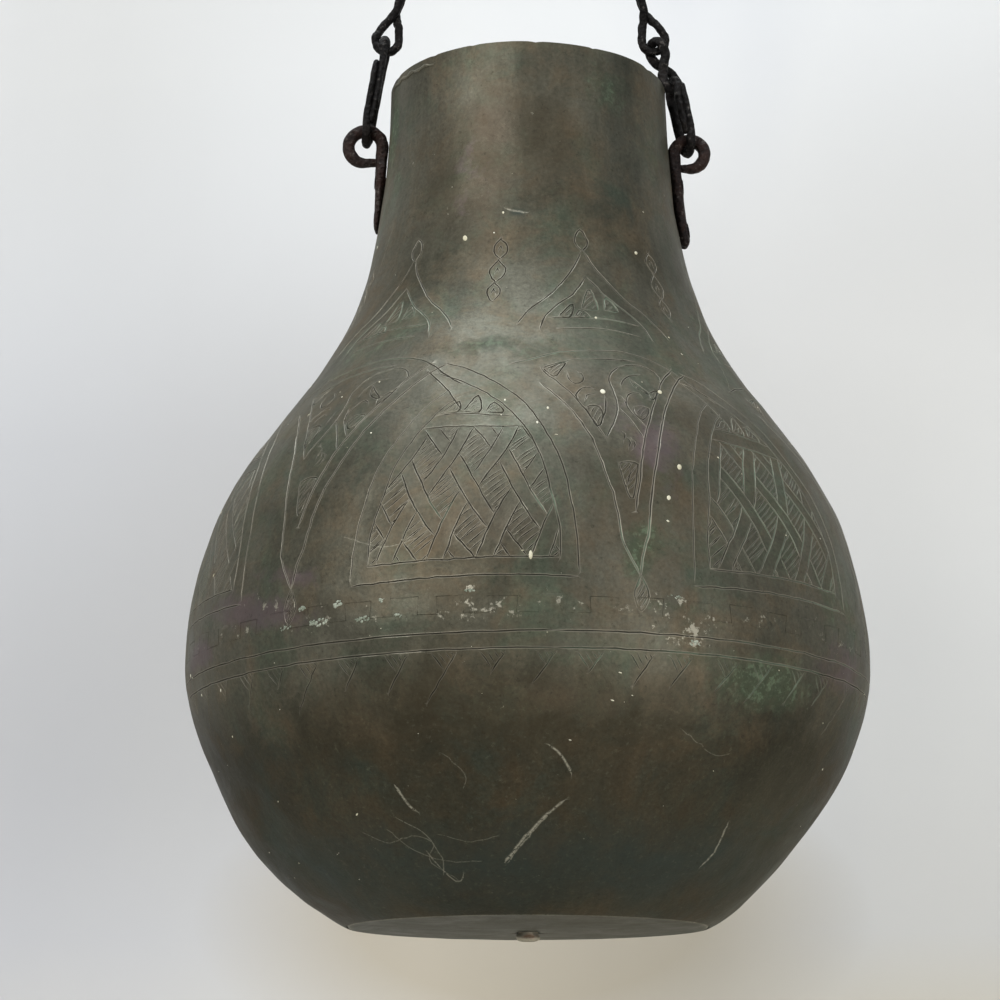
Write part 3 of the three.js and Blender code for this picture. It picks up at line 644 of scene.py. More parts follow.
def cut_row(row):
    """Parts of a row between the sectors' borders; each ends exactly on its border."""
    parts, part = [], [tuple(row[0])]
    for a, b in zip(row[:-1], row[1:]):
        low, high = min(a[0], b[0]), max(a[0], b[0])
        marks = [k * SECTOR for k in range(math.floor(low / SECTOR), math.ceil(high / SECTOR) + 1)]
        marks = [mark for mark in marks if low < mark < high]
        for mark in marks if b[0] > a[0] else marks[::-1]:
            point = (mark, a[1] + (b[1] - a[1]) * (mark - a[0]) / (b[0] - a[0]))
            parts.append([*part, point])
            part = [point]
        part.append(tuple(b))
    return [*parts, part]


def triangulate(outline, rows, spacing, seed):
    """Triangles inside an outline of (angle, run) points, with rows kept as edges."""
    ring = np.array(outline) * STRETCH
    verts = [tuple(p) for p in ring]
    edges = [(i, (i + 1) % len(ring)) for i in range(len(ring))]
    for row in rows:
        edges += [(len(verts) + i, len(verts) + i + 1) for i in range(len(row) - 1)]
        verts += [tuple(p) for p in np.array(row) * STRETCH]
    low, high = ring.min(0), ring.max(0)
    fill = []
    for j, up in enumerate(np.arange(low[1] + spacing / 2, high[1], spacing * 0.87)):
        step = spacing * STRETCH[0] / float(degree_at(up))
        across = np.arange(low[0] + step * (0.75 if j % 2 else 0.4), high[0] - step * 0.2, step)
        fill.append(np.column_stack([across, np.full(len(across), up)]))
    fill = np.vstack(fill)
    fill += np.random.default_rng(seed).uniform(-0.12, 0.12, fill.shape) * spacing
    border = [tuple(p) for p in ring]
    fill = fill[inside(border, fill[:, 0], fill[:, 1])]
    clear = distance([*border, border[0]], fill[:, 0], fill[:, 1]) > spacing * 0.3
    verts += [tuple(p) for p in fill[clear]]
    points, _, triangles, *_ = delaunay_2d_cdt([Vector(v) for v in verts], edges, [], 0, 1e-5, False)
    points = np.array([tuple(p) for p in points])
    triangles = np.array([corners for corners in triangles if len(corners) == 3])
    middle = points[triangles].mean(1)
    return points / STRETCH, triangles[inside(border, middle[:, 0], middle[:, 1])]


# How strongly the lip of each kind of stroke shows, as a raised burr and as a pale painted highlight
LIP_SHARES = {"line": 0.6, "bright": 1.0, "dark": 0.3}
LIP_HEIGHT = 0.07


def relief(points, strokes):
    """For each (angle, run) point: how deep it is cut, and how much of it is groove, lip or bare."""
    cut, lip, groove, bare = (np.zeros(len(points)) for _ in range(4))
    scale = degree_at(points[:, 1])
    order = np.argsort(points[:, 1])
    sorted_runs = points[order, 1]
    for row, size, depth, kind in strokes:
        reach = size.max() / 2 + LIP + 0.1
        first, last = np.searchsorted(sorted_runs, (row[:, 1].min() - reach, row[:, 1].max() + reach))
        near = order[first:last]
        room = reach / scale[near].min() if len(near) else 0
        near = near[(points[near, 0] > row[:, 0].min() - room) & (points[near, 0] < row[:, 0].max() + room)]
        if not len(near):
            continue
        best, half_at = np.full(len(near), 1e9), np.full(len(near), 0.1)
        for i in range(len(row) - 1):
            level = float(degree_at(row[i, 1]))
            u, v = (points[near, 0] - row[i, 0]) * level, points[near, 1] - row[i, 1]
            away, t = to_line(u, v, (row[i + 1, 0] - row[i, 0]) * level, row[i + 1, 1] - row[i, 1])
            closer = away < best
            best[closer] = away[closer]
            half_at[closer] = ((size[i] + (size[i + 1] - size[i]) * t) / 2)[closer]
        deep = np.clip(1 - best / half_at, 0, 1) * np.minimum(1, half_at / (size.max() / 2) + 0.2)
        cut[near] = np.maximum(cut[near], deep * depth)
        if kind == "scrape":
            strength = min(0.25 + size.max() * 0.7, 1)
            bare[near] = np.maximum(bare[near], strength * np.clip(1.3 - best / half_at, 0, 1))
            continue
        edge = np.clip(1 - np.abs(best - half_at) / LIP, 0, 1) * (best > half_at * 0.98)
        lip[near] = np.maximum(lip[near], edge * LIP_SHARES[kind])
        groove[near] = np.maximum(groove[near], deep)
    lip = np.where(groove > 0.1, 0, lip)
    return cut - lip * LIP_HEIGHT, groove, lip, bare


def wrapped(strokes):
    """Every stroke once more a turn further on, where it leaves the range of -180 to 180."""
    result = list(strokes)
    for row, size, depth, kind in strokes:
        for turn in (-360, 360):
            if row[:, 0].max() + turn > -182 and row[:, 0].min() + turn < 182:
                result.append((row + np.array([turn, 0.0]), size, depth, kind))
    return result


def rows_by_sector(strokes):
    """The strokes' rows cut into sectors, and the runs at which they cross each border."""
    parts = [[] for _ in range(SECTORS)]
    crossings = [set() for _ in BORDERS]
    for row, size, _, _ in strokes:
        for part in (part for line in stroke_rows(row, size) for part in cut_row(line)):
            middle = (part[0][0] + part[-1][0]) / 2 + (part[len(part) // 2][0] - part[0][0]) * 1e-6
            turn = -360 if middle > 180 else 360 if middle < -180 else 0
            part = [(angle + turn, run) for angle, run in part]
            parts[min(max(math.floor((middle + turn + 180) / SECTOR), 0), SECTORS - 1)].append(part)
            for angle, run in (part[0], part[-1]):
                k = round((angle + 180) / SECTOR)
                if angle == BORDERS[k]:
                    crossings[k].add(run)
    crossings[0] = crossings[-1] = crossings[0] | crossings[-1]
    return parts, crossings


def border_points(border, marks, low, high, spacing):
    """Points up a border between two sectors: the crossings and others between them."""
    inner = sorted(s for s in marks if low + 0.01 < s < high - 0.01)
    plain = np.linspace(low, high, max(2, int((high - low) / spacing)) + 1)[1:-1]
    plain = [s for s in plain if all(abs(s - m) > 0.3 for m in inner)]
    return [(border, s) for s in sorted([*plain, *inner])]


def border_loop(triangles):
    """The points around a sheet of triangles, in order."""
    single = {}
    for a, b, c in triangles:
        for start, end in ((a, b), (b, c), (c, a)):
            if (end, start) in single:
                del single[end, start]
            else:
                single[start, end] = True
    follow = {start: end for start, end in single}
    loop = [next(iter(follow))]
    while follow[loop[-1]] != loop[0] and len(loop) <= len(follow):
        loop.append(follow[loop[-1]])
    return loop


def engraved_sheet(name, low_edge, high_edge, strokes, spacing, material, extra=None):
    """A sheet of the pot's wall between two edges, with its strokes cut into the outside. Each
    sector gets a face outside, a plain one inside and the narrow wall between them."""
    parts, crossings = rows_by_sector(strokes)
    every = wrapped(strokes)
    index, places, masks, faces = {}, [], [], []
    plain = (0.0, 0.0, 0.0, 0.0)

    def vertex(point, is_inner, values):
        turn = -180.0 if point[0] > 179.9999 else float(point[0])
        key = (round(turn, 4), round(float(point[1]), 4), is_inner)
        if key not in index:
            index[key] = len(places)
            places.append((turn, float(point[1]), is_inner))
            masks.append(values)
        return index[key]

    for k, (turn0, turn1) in enumerate(zip(BORDERS, BORDERS[1:])):
        bottom, top = low_edge(turn0, turn1), high_edge(turn0, turn1)
        right = border_points(turn1, crossings[k + 1], bottom[-1][1], top[-1][1], spacing)
        left = border_points(turn0, crossings[k], bottom[0][1], top[0][1], spacing)
        points, triangles = triangulate([*bottom, *right, *top[::-1], *left[::-1]], parts[k], spacing, k)
        close = [s for s in every if s[0][:, 0].max() > turn0 - 1 and s[0][:, 0].min() < turn1 + 1]
        values = np.column_stack(relief(points, close))
        outer = [vertex(point, 0, tuple(value)) for point, value in zip(points, values)]
        faces += [(outer[a], outer[b], outer[c]) for a, b, c in triangles]
        loop = border_loop(triangles)
        inner_edge = [tuple(points[i]) for i in loop]
        inner_points, inner_triangles = triangulate(inner_edge, [], spacing * 2.6, k + 50)
        inner = [vertex(point, 1, plain) for point in inner_points]
        faces += [(inner[a], inner[c], inner[b]) for a, b, c in inner_triangles]
        for a, b in zip(loop, loop[1:] + loop[:1]):
            if any(abs(points[a][0] - t) < 1e-3 and abs(points[b][0] - t) < 1e-3 for t in (turn0, turn1)):
                continue
            faces.append((outer[b], outer[a], vertex(points[a], 1, plain), vertex(points[b], 1, plain)))
    turns, runs, is_inner = np.array(places).T
    cut, *masks = np.array(masks).T
    solid = on_wall(turns, runs, np.where(is_inner > 0, WALL, cut))
    if extra:
        faces += [tuple(i + len(solid) for i in face) for face in extra[1]]
        solid = np.vstack([solid, extra[0]])
        masks = [np.concatenate([mask, np.zeros(len(extra[0]))]) for mask in masks]
    piece = new_piece(name, solid, faces, material)
    piece.data.set_sharp_from_angle(angle=math.radians(48))
    write_marks(piece, *masks)
    return piece


def ring_faces(sides, count):
    """Faces between closed rows of points that stand around the pot's axis."""
    faces = []
    for k in range(sides):
        here, there = k * count, (k + 1) % sides * count
        for i in range(count):
            j = (i + 1) % count
            faces.append((here + i, there + i, there + j, here + j))
    return faces


def turned(outline, sides):
    """Points and faces of a closed outline of (radius, height) turned about the pot's axis."""
    angles = [2 * math.pi * k / sides for k in range(sides)]
    points = [(r * math.sin(angle), -r * math.cos(angle), z) for angle in angles for r, z in outline]
    solid = np.array(points, float)
    solid[:, 2] += BASE_EDGE / MM
    return solid * MM, ring_faces(sides, len(outline))


def at_depth(height, depth):
    """Radius and height of a place inside the wall."""
    slope_r, slope_z = slope_at(run_of(height))
    return float(radius_at(run_of(height)) - depth * slope_z), float(height + depth * slope_r)


# Stains of the patina, with painted shade, sheen and glints among them, each an angle, height, half width in
# degrees, half height, tilt and strength
STAINS = {
    "verdigris": [
        (40, 92, 12, 13, 0, 1.0), (28, 99, 8, 6, 0, 0.55), (8, 96, 10, 5, 0, 0.4),
        (16.5, 138, 2.5, 12, 0, 0.9), (46, 172, 13, 42, 0, 0.5), (62, 130, 14, 26, 0, 0.55),
        (-9, 241, 16, 7, 0, 0.6), (3, 236, 12, 6, 0, 0.55), (-40, 262, 9, 16, 0, 0.45),
        (22, 262, 9, 12, 0, 0.45), (-72, 372, 9, 26, 0, 0.9), (-62, 344, 6, 10, 0, 0.6),
        (34, 380, 14, 13, 0, 0.6), (60, 350, 8, 30, 0, 0.5), (62, 262, 8, 36, 0, 0.5),
        # The wide patch at -45 degrees and 250 mm is partly verdigris and partly a painted sheen on the upper
        # left shoulder
        (-14, 158, 4, 7, 0, 0.4), (-45, 250, 26, 22, 0, 0.5), (18, 146, 4, 9, 0, 0.8),
        (3, 160, 3, 6, 0, 0.5), (22, 118, 9, 3, 0, 0.6), (-4, 117, 9, 2.4, 0, 0.45),
        (-100, 150, 20, 40, 0, 0.6), (150, 210, 30, 40, 0, 0.6), (-150, 90, 30, 20, 0, 0.7),
    ],
    "umber": [
        (0, 78, 55, 26, 0, 0.7), (18, 160, 12, 35, 0, 0.7), (-20, 122, 40, 10, 0, 0.6),
        (-26, 335, 26, 45, 0, 0.8), (8, 345, 22, 40, 0, 0.8), (28, 205, 16, 14, 0, 0.6),
        (24, 40, 30, 18, 0, 0.5), (120, 130, 40, 60, 0, 0.6), (90, 26, 9, 22, 0.3, 1.0),
        (-130, 260, 40, 50, 0, 0.5),
    ],
    "plum": [
        (-48, 124, 12, 8, -0.5, 1.0), (-40, 136, 8, 5, -0.5, 0.8), (-66, 113, 8, 7, 0, 1.0),
        (-22, 330, 8, 30, 0, 0.4), (23, 190, 4, 25, 0, 0.5), (61, 106, 10, 15, 0, 0.75),
        (22, 190, 5, 16, 0, 0.9), (20, 205, 8, 12, 0, 0.4), (-100, 60, 20, 20, 0, 0.4),
    ],
    # Dark blue-grey patches: all round near the bottom they are painted shade, elsewhere darker patches of the
    # patina
    "darkening": [
        (0, 20, 180, 22, 0, 0.7), (-50, 60, 20, 30, 0, 0.35), (28, 145, 10, 14, 0, 0.3),
        (5, 390, 25, 8, 0, 0.35), (36, 350, 20, 60, 0, 0.5), (47, 78, 6, 12, 0, 0.4),
        (-4, 313, 3.5, 2.2, 0, 0.9), (170, 80, 50, 50, 0, 0.4),
    ],
    # Solder along the seam: pale crust, and where the seam shines it also stands in for painted glints
    "solder": [
        (26, 103.5, 4, 2.4, 0, 0.8), (26, 109, 7, 6, 0, 0.66), (30, 111, 9, 4, 0, 0.5),
        (-8.6, 123.1, 1.4, 2.4, 0, 0.9), (-8, 115, 9, 4, 0, 0.62), (-30, 114, 14, 3, 0, 0.5),
        (-40, 124, 8, 4, -0.6, 0.5), (24, 120, 7, 3, 0, 0.62), (0, 116, 180, 5, 0, 0.36),
        (-95, 112, 8, 3, 0, 0.6), (140, 119, 10, 3, 0, 0.6),
    ],
    "copper_red": [
        (-14, 345, 12, 60, 0, 0.8), (-5, 150, 22, 16, 0, 0.6), (10, 205, 10, 20, 0, 0.5),
        (30, 170, 8, 30, 0, 0.5), (50, 230, 8, 20, 0, 0.4), (110, 260, 40, 60, 0, 0.5),
        (10, 80, 26, 12, 0, 0.45),
    ],
}


def write_marks(piece, groove, lip, bare):
    """Stores on a piece's points how much is groove, lip or bare, and each stain's strength, painted shade and
    glints among them.
    """
    for name, values in (("groove", groove), ("lip", lip), ("bare", bare)):
        write_values(piece.data, name, values)
    places = np.empty(len(piece.data.vertices) * 3)
    piece.data.vertices.foreach_get("co", places)
    places = places.reshape(-1, 3) / MM
    turn = np.degrees(np.arctan2(places[:, 0], -places[:, 1]))
    height = places[:, 2] - BASE_EDGE / MM
    for kind, spots in STAINS.items():
        total = np.zeros(len(places))
        for *oval, strength in spots:
            total = np.maximum(total, strength * soft_oval(turn, height, *oval))
        write_values(piece.data, kind, total)


# Materials


def feed(tree, socket, value):
    """Joins a socket to a node's output, or sets it to a value."""
    if isinstance(value, bpy.types.NodeSocket):
        tree.links.new(value, socket)
    else:
        socket.default_value = (*value, 1.0) if socket.type == "RGBA" else value


class Maker:
    """Adds nodes to a tree and joins them."""

    def __init__(self, tree):
        self.tree = tree

    def add(self, kind, values=None, **settings):
        node = self.tree.nodes.new(kind)
        for key, value in settings.items():
            setattr(node, key, value)
        for key, value in (values or {}).items():
            feed(self.tree, node.inputs[key], value)
        return node

    def out(self, kind, values=None, **settings):
        """The first output of a new node."""
        return self.add(kind, values, **settings).outputs[0]

    def math(self, how, a, b=0.5, clamp=False):
        return self.out("ShaderNodeMath", {0: a, 1: b}, operation=how, use_clamp=clamp)

    def times(self, a, b):
        return self.math("MULTIPLY", a, b)

    def plus(self, a, b, clamp=False):
        return self.math("ADD", a, b, clamp)

    def less(self, a, b, clamp=False):
        return self.math("SUBTRACT", a, b, clamp)

    def vector(self, how, a, b=None, scale=None):
        values = {key: value for key, value in ((0, a), (1, b), ("Scale", scale)) if value is not None}
        node = self.add("ShaderNodeVectorMath", values, operation=how)
        return node.outputs["Value" if how in ("DOT_PRODUCT", "LENGTH") else "Vector"]

    def split(self, vector):
        return self.add("ShaderNodeSeparateXYZ", {0: vector}).outputs

    def joined(self, x=0.0, y=0.0, z=0.0):
        return self.out("ShaderNodeCombineXYZ", {0: x, 1: y, 2: z})

    def spread(self, value, low, high, to_low=0.0, to_high=1.0):
        return self.out("ShaderNodeMapRange", {"Value": value, "From Min": low, "From Max": high,
                                               "To Min": to_low, "To Max": to_high})

    def noise(self, vector, scale, detail=4.0, rough=0.55, twist=0.0):
        return self.add("ShaderNodeTexNoise", {"Vector": vector, "Scale": scale, "Detail": detail,
                                               "Roughness": rough, "Distortion": twist}).outputs["Fac"]

    def mix(self, share, first, second, how="MIX"):
        values = {0: share, 6: first, 7: second}
        return self.add("ShaderNodeMix", values, data_type="RGBA", blend_type=how).outputs[2]

    def place(self):
        return self.add("ShaderNodeTexCoord").outputs["Object"]

    def mark(self, name):
        """A value that a piece's points carry."""
        return self.add("ShaderNodeAttribute", attribute_name=name).outputs["Fac"]

    def group(self, tree, **values):
        return self.add("ShaderNodeGroup", values, node_tree=tree).outputs


def colour(red, green, blue):
    """Linear values of a colour that is written as the 0 to 255 values of a paint chart."""
    return tuple(((c / 255 + 0.055) / 1.055) ** 2.4 if c > 10 else c / 255 / 12.92 for c in (red, green, blue))


def new_group(name, kind, inputs, outputs, build):
    """A node group with inputs of (label, kind, value) and outputs of (label, kind); the second
    result is each input's own name in the group."""
    tree = bpy.data.node_groups.new(name, kind)
    names = {}
    for label, socket_kind, value in inputs:
        socket = tree.interface.new_socket(label, in_out="INPUT", socket_type=socket_kind)
        if value is not None:
            socket.default_value = value
        names[label] = socket.identifier
    for label, socket_kind in outputs:
        tree.interface.new_socket(label, in_out="OUTPUT", socket_type=socket_kind)
    m = Maker(tree)
    result = m.add("NodeGroupOutput").inputs
    for label, socket in build(m, m.add("NodeGroupInput").outputs).items():
        tree.links.new(socket, result[label])
    return tree, names


FLOAT, COLOUR, VECTOR = "NodeSocketFloat", "NodeSocketColor", "NodeSocketVector"
GEOMETRY, MATERIAL = "NodeSocketGeometry", "NodeSocketMaterial"
TONES = ("Dark", "Light", "Warm", "Cool")


def build_patina(m, given):
    """Mottled colour of old copper: broad clouds, red and green blotches, streaks and fine grain."""
    place = given["Place"]
    clouds = m.noise(place, 9.0, 6.0, 0.62, 0.4)
    blotches = m.noise(place, 38.0, 8.0, 0.7, 0.6)
    spots = m.noise(m.vector("ADD", place, (3.1, 1.7, 0.4)), 24.0, 8.0, 0.7, 0.5)
    grain = m.noise(place, 620.0, 4.0, 0.65)
    wrinkles = m.noise(place, 105.0, 3.0, 0.5)
    x, y, z = m.split(place)
    around = m.vector("NORMALIZE", m.joined(x, y))
    streaks = m.noise(m.vector("ADD", around, m.joined(z=m.times(z, 2.2))), 14.0, 5.0, 0.6, 0.3)
    ground = m.mix(m.spread(clouds, 0.34, 0.66), given["Dark"], given["Light"])
    ground = m.mix(m.spread(blotches, 0.46, 0.66, 0.0, 0.6), ground, given["Warm"])
    ground = m.mix(m.spread(spots, 0.5, 0.68, 0.0, 0.6), ground, given["Cool"])
    speckle = m.times(m.spread(grain, 0.3, 0.7, 0.8, 1.22), m.spread(blotches, 0.3, 0.7, 0.86, 1.14))
    speckle = m.times(speckle, m.spread(streaks, 0.35, 0.65, 0.9, 1.1))
    grey = m.out("ShaderNodeCombineColor", {0: speckle, 1: speckle, 2: speckle})
    height = m.plus(m.plus(m.times(blotches, 0.5), m.times(grain, 0.2)), m.times(wrinkles, 0.6))
    return {"Colour": m.mix(1.0, ground, grey, "MULTIPLY"), "Blotches": blotches, "Height": height}


def build_stain(m, given):
    """A stain's mask: its painted strength, broken up by noise so that its edge frays."""
    fray = m.noise(given["Place"], given["Size"], 8.0, 0.7, 0.6)
    raised = m.plus(given["Strength"], m.times(m.less(fray, 0.5), given["Fray"]))
    return {"Mask": m.times(m.spread(raised, 0.3, 0.8), m.spread(given["Strength"], 0.02, 0.2))}


PATINA, _ = new_group(
    "patina",
    "ShaderNodeTree",
    [("Place", VECTOR, None), *[(label, COLOUR, None) for label in TONES]],
    [("Colour", COLOUR), ("Blotches", FLOAT), ("Height", FLOAT)],
    build_patina,
)
STAIN, _ = new_group(
    "frayed_stain",
    "ShaderNodeTree",
    [("Place", VECTOR, None), ("Strength", FLOAT, 0.0), ("Size", FLOAT, 40.0), ("Fray", FLOAT, 1.0)],
    [("Mask", FLOAT)],
    build_stain,
)

# Tint of the sheen of old metal, and how metallic copper and iron look
DULL_SHEEN = (0.48, 0.47, 0.44)
COPPER_METALLIC, IRON_METALLIC = 0.55, 0.5


def new_material(name, metallic, roughness):
    """A material, its maker, and a function that feeds an input of its shader."""
    material = bpy.data.materials.new(name)
    material.use_nodes = True
    tree = material.node_tree

    def put(label, value):
        feed(tree, tree.nodes["Principled BSDF"].inputs[label], value)

    put("Metallic", metallic)
    put("Roughness", roughness)
    if metallic:
        put("Specular Tint", DULL_SHEEN)
    return material, Maker(tree), put


# Paint of each kind of stain: how fine and how far it frays, how much it covers, and its colour
STAIN_PAINTS = [
    ("umber", 34.0, 1.2, 0.5, colour(70, 60, 44)),
    ("copper_red", 26.0, 1.2, 0.3, colour(92, 76, 64)),
    ("plum", 90.0, 1.8, 0.6, colour(106, 91, 96)),
    # This dark blue-grey is painted shade all round near the bottom, and darker patina in patches elsewhere
    ("darkening", 28.0, 1.2, 0.72, colour(48, 58, 55)),
]
# Heights above the base edge between which the shoulder's tones pass into the bowl's, in metres
LOW_TONES_FROM, LOW_TONES_FULL = 0.1, 0.068


def copper(name, tones, low_tones=None, roughness=0.44):
    """Old copper with its stains, dirt and verdigris in the engraved lines, bare scrapes, painted shade near
    the bottom, painted highlights on the grooves' lips and painted glints on solder.

    The four tones are dark, light, warm and cool; below the seam they pass into the low tones."""
    material, m, put = new_material(name, COPPER_METALLIC, roughness)
    place = m.place()
    base = m.group(PATINA, Place=place, **dict(zip(TONES, tones)))
    shade = base["Colour"]
    if low_tones:
        low = m.group(PATINA, Place=place, **dict(zip(TONES, low_tones)))
        frayed = m.plus(m.split(place)[2], m.times(m.less(base["Blotches"], 0.5), 0.05))
        share = m.spread(frayed, BASE_EDGE + LOW_TONES_FROM, BASE_EDGE + LOW_TONES_FULL)
        shade = m.mix(share, shade, low["Colour"])

    def stain(kind, size, fray):
        return m.group(STAIN, Place=place, Strength=m.mark(kind), Size=size, Fray=fray)["Mask"]

    for kind, size, fray, cover, paint in STAIN_PAINTS:
        shade = m.mix(m.times(stain(kind, size, fray), cover), shade, paint)
    green = stain("verdigris", 120.0, 1.3)
    crumbs = m.spread(m.noise(place, 300.0, 6.0, 0.7), 0.5, 0.62)
    shade = m.mix(m.times(green, 0.65), shade, m.mix(crumbs, colour(58, 72, 54), colour(98, 118, 94)))
    # Dirt or verdigris fills the grooves, and their lips are rubbed pale and painted as highlights
    groove, lip = m.mark("groove"), m.mark("lip")
    patchy = m.spread(m.noise(place, 60.0, 4.0, 0.6), 0.36, 0.5)
    filled = m.times(m.spread(m.mark("verdigris"), 0.1, 0.35), patchy)
    deposit = m.mix(filled, colour(29, 28, 22), colour(112, 130, 112))
    # Painted highlight on the lips: a pale colour
    shade = m.mix(m.times(lip, 0.62), shade, colour(180, 174, 160))
    shade = m.mix(m.spread(groove, 0.1, 0.7, 0.0, 0.8), shade, deposit)
    # Pale and dark flecks, solder crust that also stands in for painted glints, and bare metal where it is
    # scraped
    flecks = m.noise(place, 400.0, 6.0, 0.75)
    shade = m.mix(m.spread(flecks, 0.57, 0.7, 0.0, 0.2), shade, colour(122, 120, 102))
    shade = m.mix(m.spread(flecks, 0.42, 0.32, 0.0, 0.5), shade, colour(38, 37, 29))
    crusts_and_glints = m.spread(m.plus(m.noise(place, 240.0, 8.0, 0.68), m.times(m.mark("solder"), 0.3)), 0.69, 0.74)
    scuffed = m.spread(m.noise(place, 900.0, 4.0, 0.7), 0.36, 0.52)
    bare = m.math("MAXIMUM", m.times(m.mark("bare"), scuffed), crusts_and_glints)
    # The pale colour is bare metal and solder crust, and also painted glints and highlights
    put("Base Color", m.mix(m.times(bare, 0.78), shade, colour(172, 168, 152)))
    dull = m.math("MAXIMUM", green, groove)
    rough = m.spread(base["Blotches"], 0.3, 0.7, roughness - 0.07, roughness + 0.14)
    rough = m.plus(rough, m.times(dull, 0.2), clamp=True)
    put("Roughness", m.less(rough, m.times(m.math("MAXIMUM", lip, bare), 0.1), clamp=True))
    put("Metallic", m.spread(dull, 0.0, 1.0, COPPER_METALLIC, COPPER_METALLIC * 0.3))
    put("Normal", m.out("ShaderNodeBump", {"Strength": 0.5, "Distance": 0.0008, "Height": base["Height"]}))
    return material


def iron(name, dark, light, rust, rust_share):
    """Forged iron, scaly and pitted, with rust in its hollows and painted glints: pale, less rough spots."""
    material, m, put = new_material(name, IRON_METALLIC, 0.5)
    place = m.place()
    base = m.group(PATINA, Place=place, Dark=dark, Light=light, Warm=rust, Cool=dark)
    scale = m.noise(place, 260.0, 6.0, 0.7, 0.5)
    shade = m.mix(m.spread(scale, 0.62 - rust_share * 0.2, 0.78, 0.0, 0.8), base["Colour"], rust)
    pits = m.add("ShaderNodeTexVoronoi", {"Vector": place, "Scale": 420.0}).outputs["Distance"]
    shade = m.mix(m.spread(pits, 0.0, 0.4, 0.7, 0.0), shade, colour(13, 12, 12))
    # Painted glints: pale, smoother spots that stand in for highlights
    glint = m.spread(m.noise(place, 480.0, 4.0, 0.7), 0.58, 0.68)
    put("Base Color", m.mix(m.times(glint, 0.45), shade, colour(118, 112, 106)))
    put("Roughness", m.less(m.spread(scale, 0.3, 0.7, 0.42, 0.72), m.times(glint, 0.12)))
    height = m.plus(m.times(scale, 0.8), m.times(pits, 0.7))
    put("Normal", m.out("ShaderNodeBump", {"Strength": 1.0, "Distance": 0.0014, "Height": height}))
    return material


# Geometry Nodes: a forged bar swept along the points of a host mesh, and flat drops on points


def finished(m, given, geometry):
    """Ends a tree with real geometry in its material."""
    real = m.out("GeometryNodeRealizeInstances", {"Geometry": geometry})
    return {"Geometry": m.out("GeometryNodeSetMaterial", {"Geometry": real, "Material": given["Material"]})}


def named(m, name, kind="FLOAT"):
    return m.add("GeometryNodeInputNamedAttribute", {"Name": name}, data_type=kind).outputs["Attribute"]


def build_bar(m, given):
    """Sweeps a rounded square along the path, sized by its points' values, and makes it lumpy."""

    def here():
        return m.out("GeometryNodeInputPosition")

    def set_places(geometry, **places):
        return m.out("GeometryNodeSetPosition", {"Geometry": geometry, **places})

    path = m.out("GeometryNodeMeshToCurve", {0: given["Path"]})
    path = m.out("GeometryNodeStoreNamedAttribute", {"Geometry": path, "Name": "middle", "Value": here()},
                 data_type="FLOAT_VECTOR", domain="POINT")
    profile = m.out("GeometryNodeCurvePrimitiveCircle", {"Resolution": given["Sides"], "Radius": MM})
    spot = here()
    x, y, _ = m.split(spot)
    widest = m.math("MAXIMUM", m.math("ABSOLUTE", x), m.math("ABSOLUTE", y))
    square = m.math("POWER", m.math("DIVIDE", widest, MM), m.times(given["Squareness"], -1.0))
    profile = set_places(profile, Position=m.vector("SCALE", spot, scale=square))
    swept = m.out("GeometryNodeCurveToMesh", {"Curve": path, "Profile Curve": profile, "Fill Caps": True})
    middle, across = named(m, "middle", "FLOAT_VECTOR"), named(m, "across", "FLOAT_VECTOR")
    arm = m.vector("SUBTRACT", here(), middle)
    sideways = m.vector("SCALE", across, scale=m.vector("DOT_PRODUCT", arm, across))
    wide = m.vector("SCALE", sideways, scale=m.times(named(m, "half"), 1 / MM))
    deep = m.vector("SCALE", m.vector("SUBTRACT", arm, sideways), scale=m.times(named(m, "depth"), 1 / MM))
    shaped = set_places(swept, Position=m.vector("ADD", m.vector("ADD", middle, wide), deep))
    noise = {"Vector": here(), "W": given["Seed"], "Scale": given["Lump scale"], "Detail": 2.0}
    lumps = m.add("ShaderNodeTexNoise", noise, noise_dimensions="4D").outputs["Fac"]
    push = m.times(m.less(lumps, 0.5), m.times(given["Lump height"], 4.0))
    lumpy = set_places(shaped, Offset=m.vector("SCALE", m.out("GeometryNodeInputNormal"), scale=push))
    return finished(m, given, m.out("GeometryNodeSetShadeSmooth", {"Geometry": lumpy}))


def build_drops(m, given):
    """Sets a small ball on each point, turned outwards and stretched to its size."""
    turn = m.out("FunctionNodeAlignRotationToVector", {"Vector": named(m, "out", "FLOAT_VECTOR")}, axis="Z")
    ball = m.add("GeometryNodeMeshUVSphere", {"Radius": MM, "Segments": 8, "Rings": 5}).outputs["Mesh"]
    smooth = m.out("GeometryNodeSetShadeSmooth", {"Geometry": ball})
    size = named(m, "size", "FLOAT_VECTOR")
    values = {"Points": given["Path"], "Instance": smooth, "Rotation": turn, "Scale": size}
    return finished(m, given, m.out("GeometryNodeInstanceOnPoints", values))


BAR = new_group(
    "forged_bar",
    "GeometryNodeTree",
    [("Path", GEOMETRY, None), ("Sides", "NodeSocketInt", 14), ("Squareness", FLOAT, 0.15),
     ("Lump height", FLOAT, 0.0003), ("Lump scale", FLOAT, 160.0), ("Seed", FLOAT, 0.0),
     ("Material", MATERIAL, None)],
    [("Geometry", GEOMETRY)],
    build_bar,
)
DROPS = new_group(
    "drops",
    "GeometryNodeTree",
    [("Path", GEOMETRY, None), ("Material", MATERIAL, None)],
    [("Geometry", GEOMETRY)],
    build_drops,
)


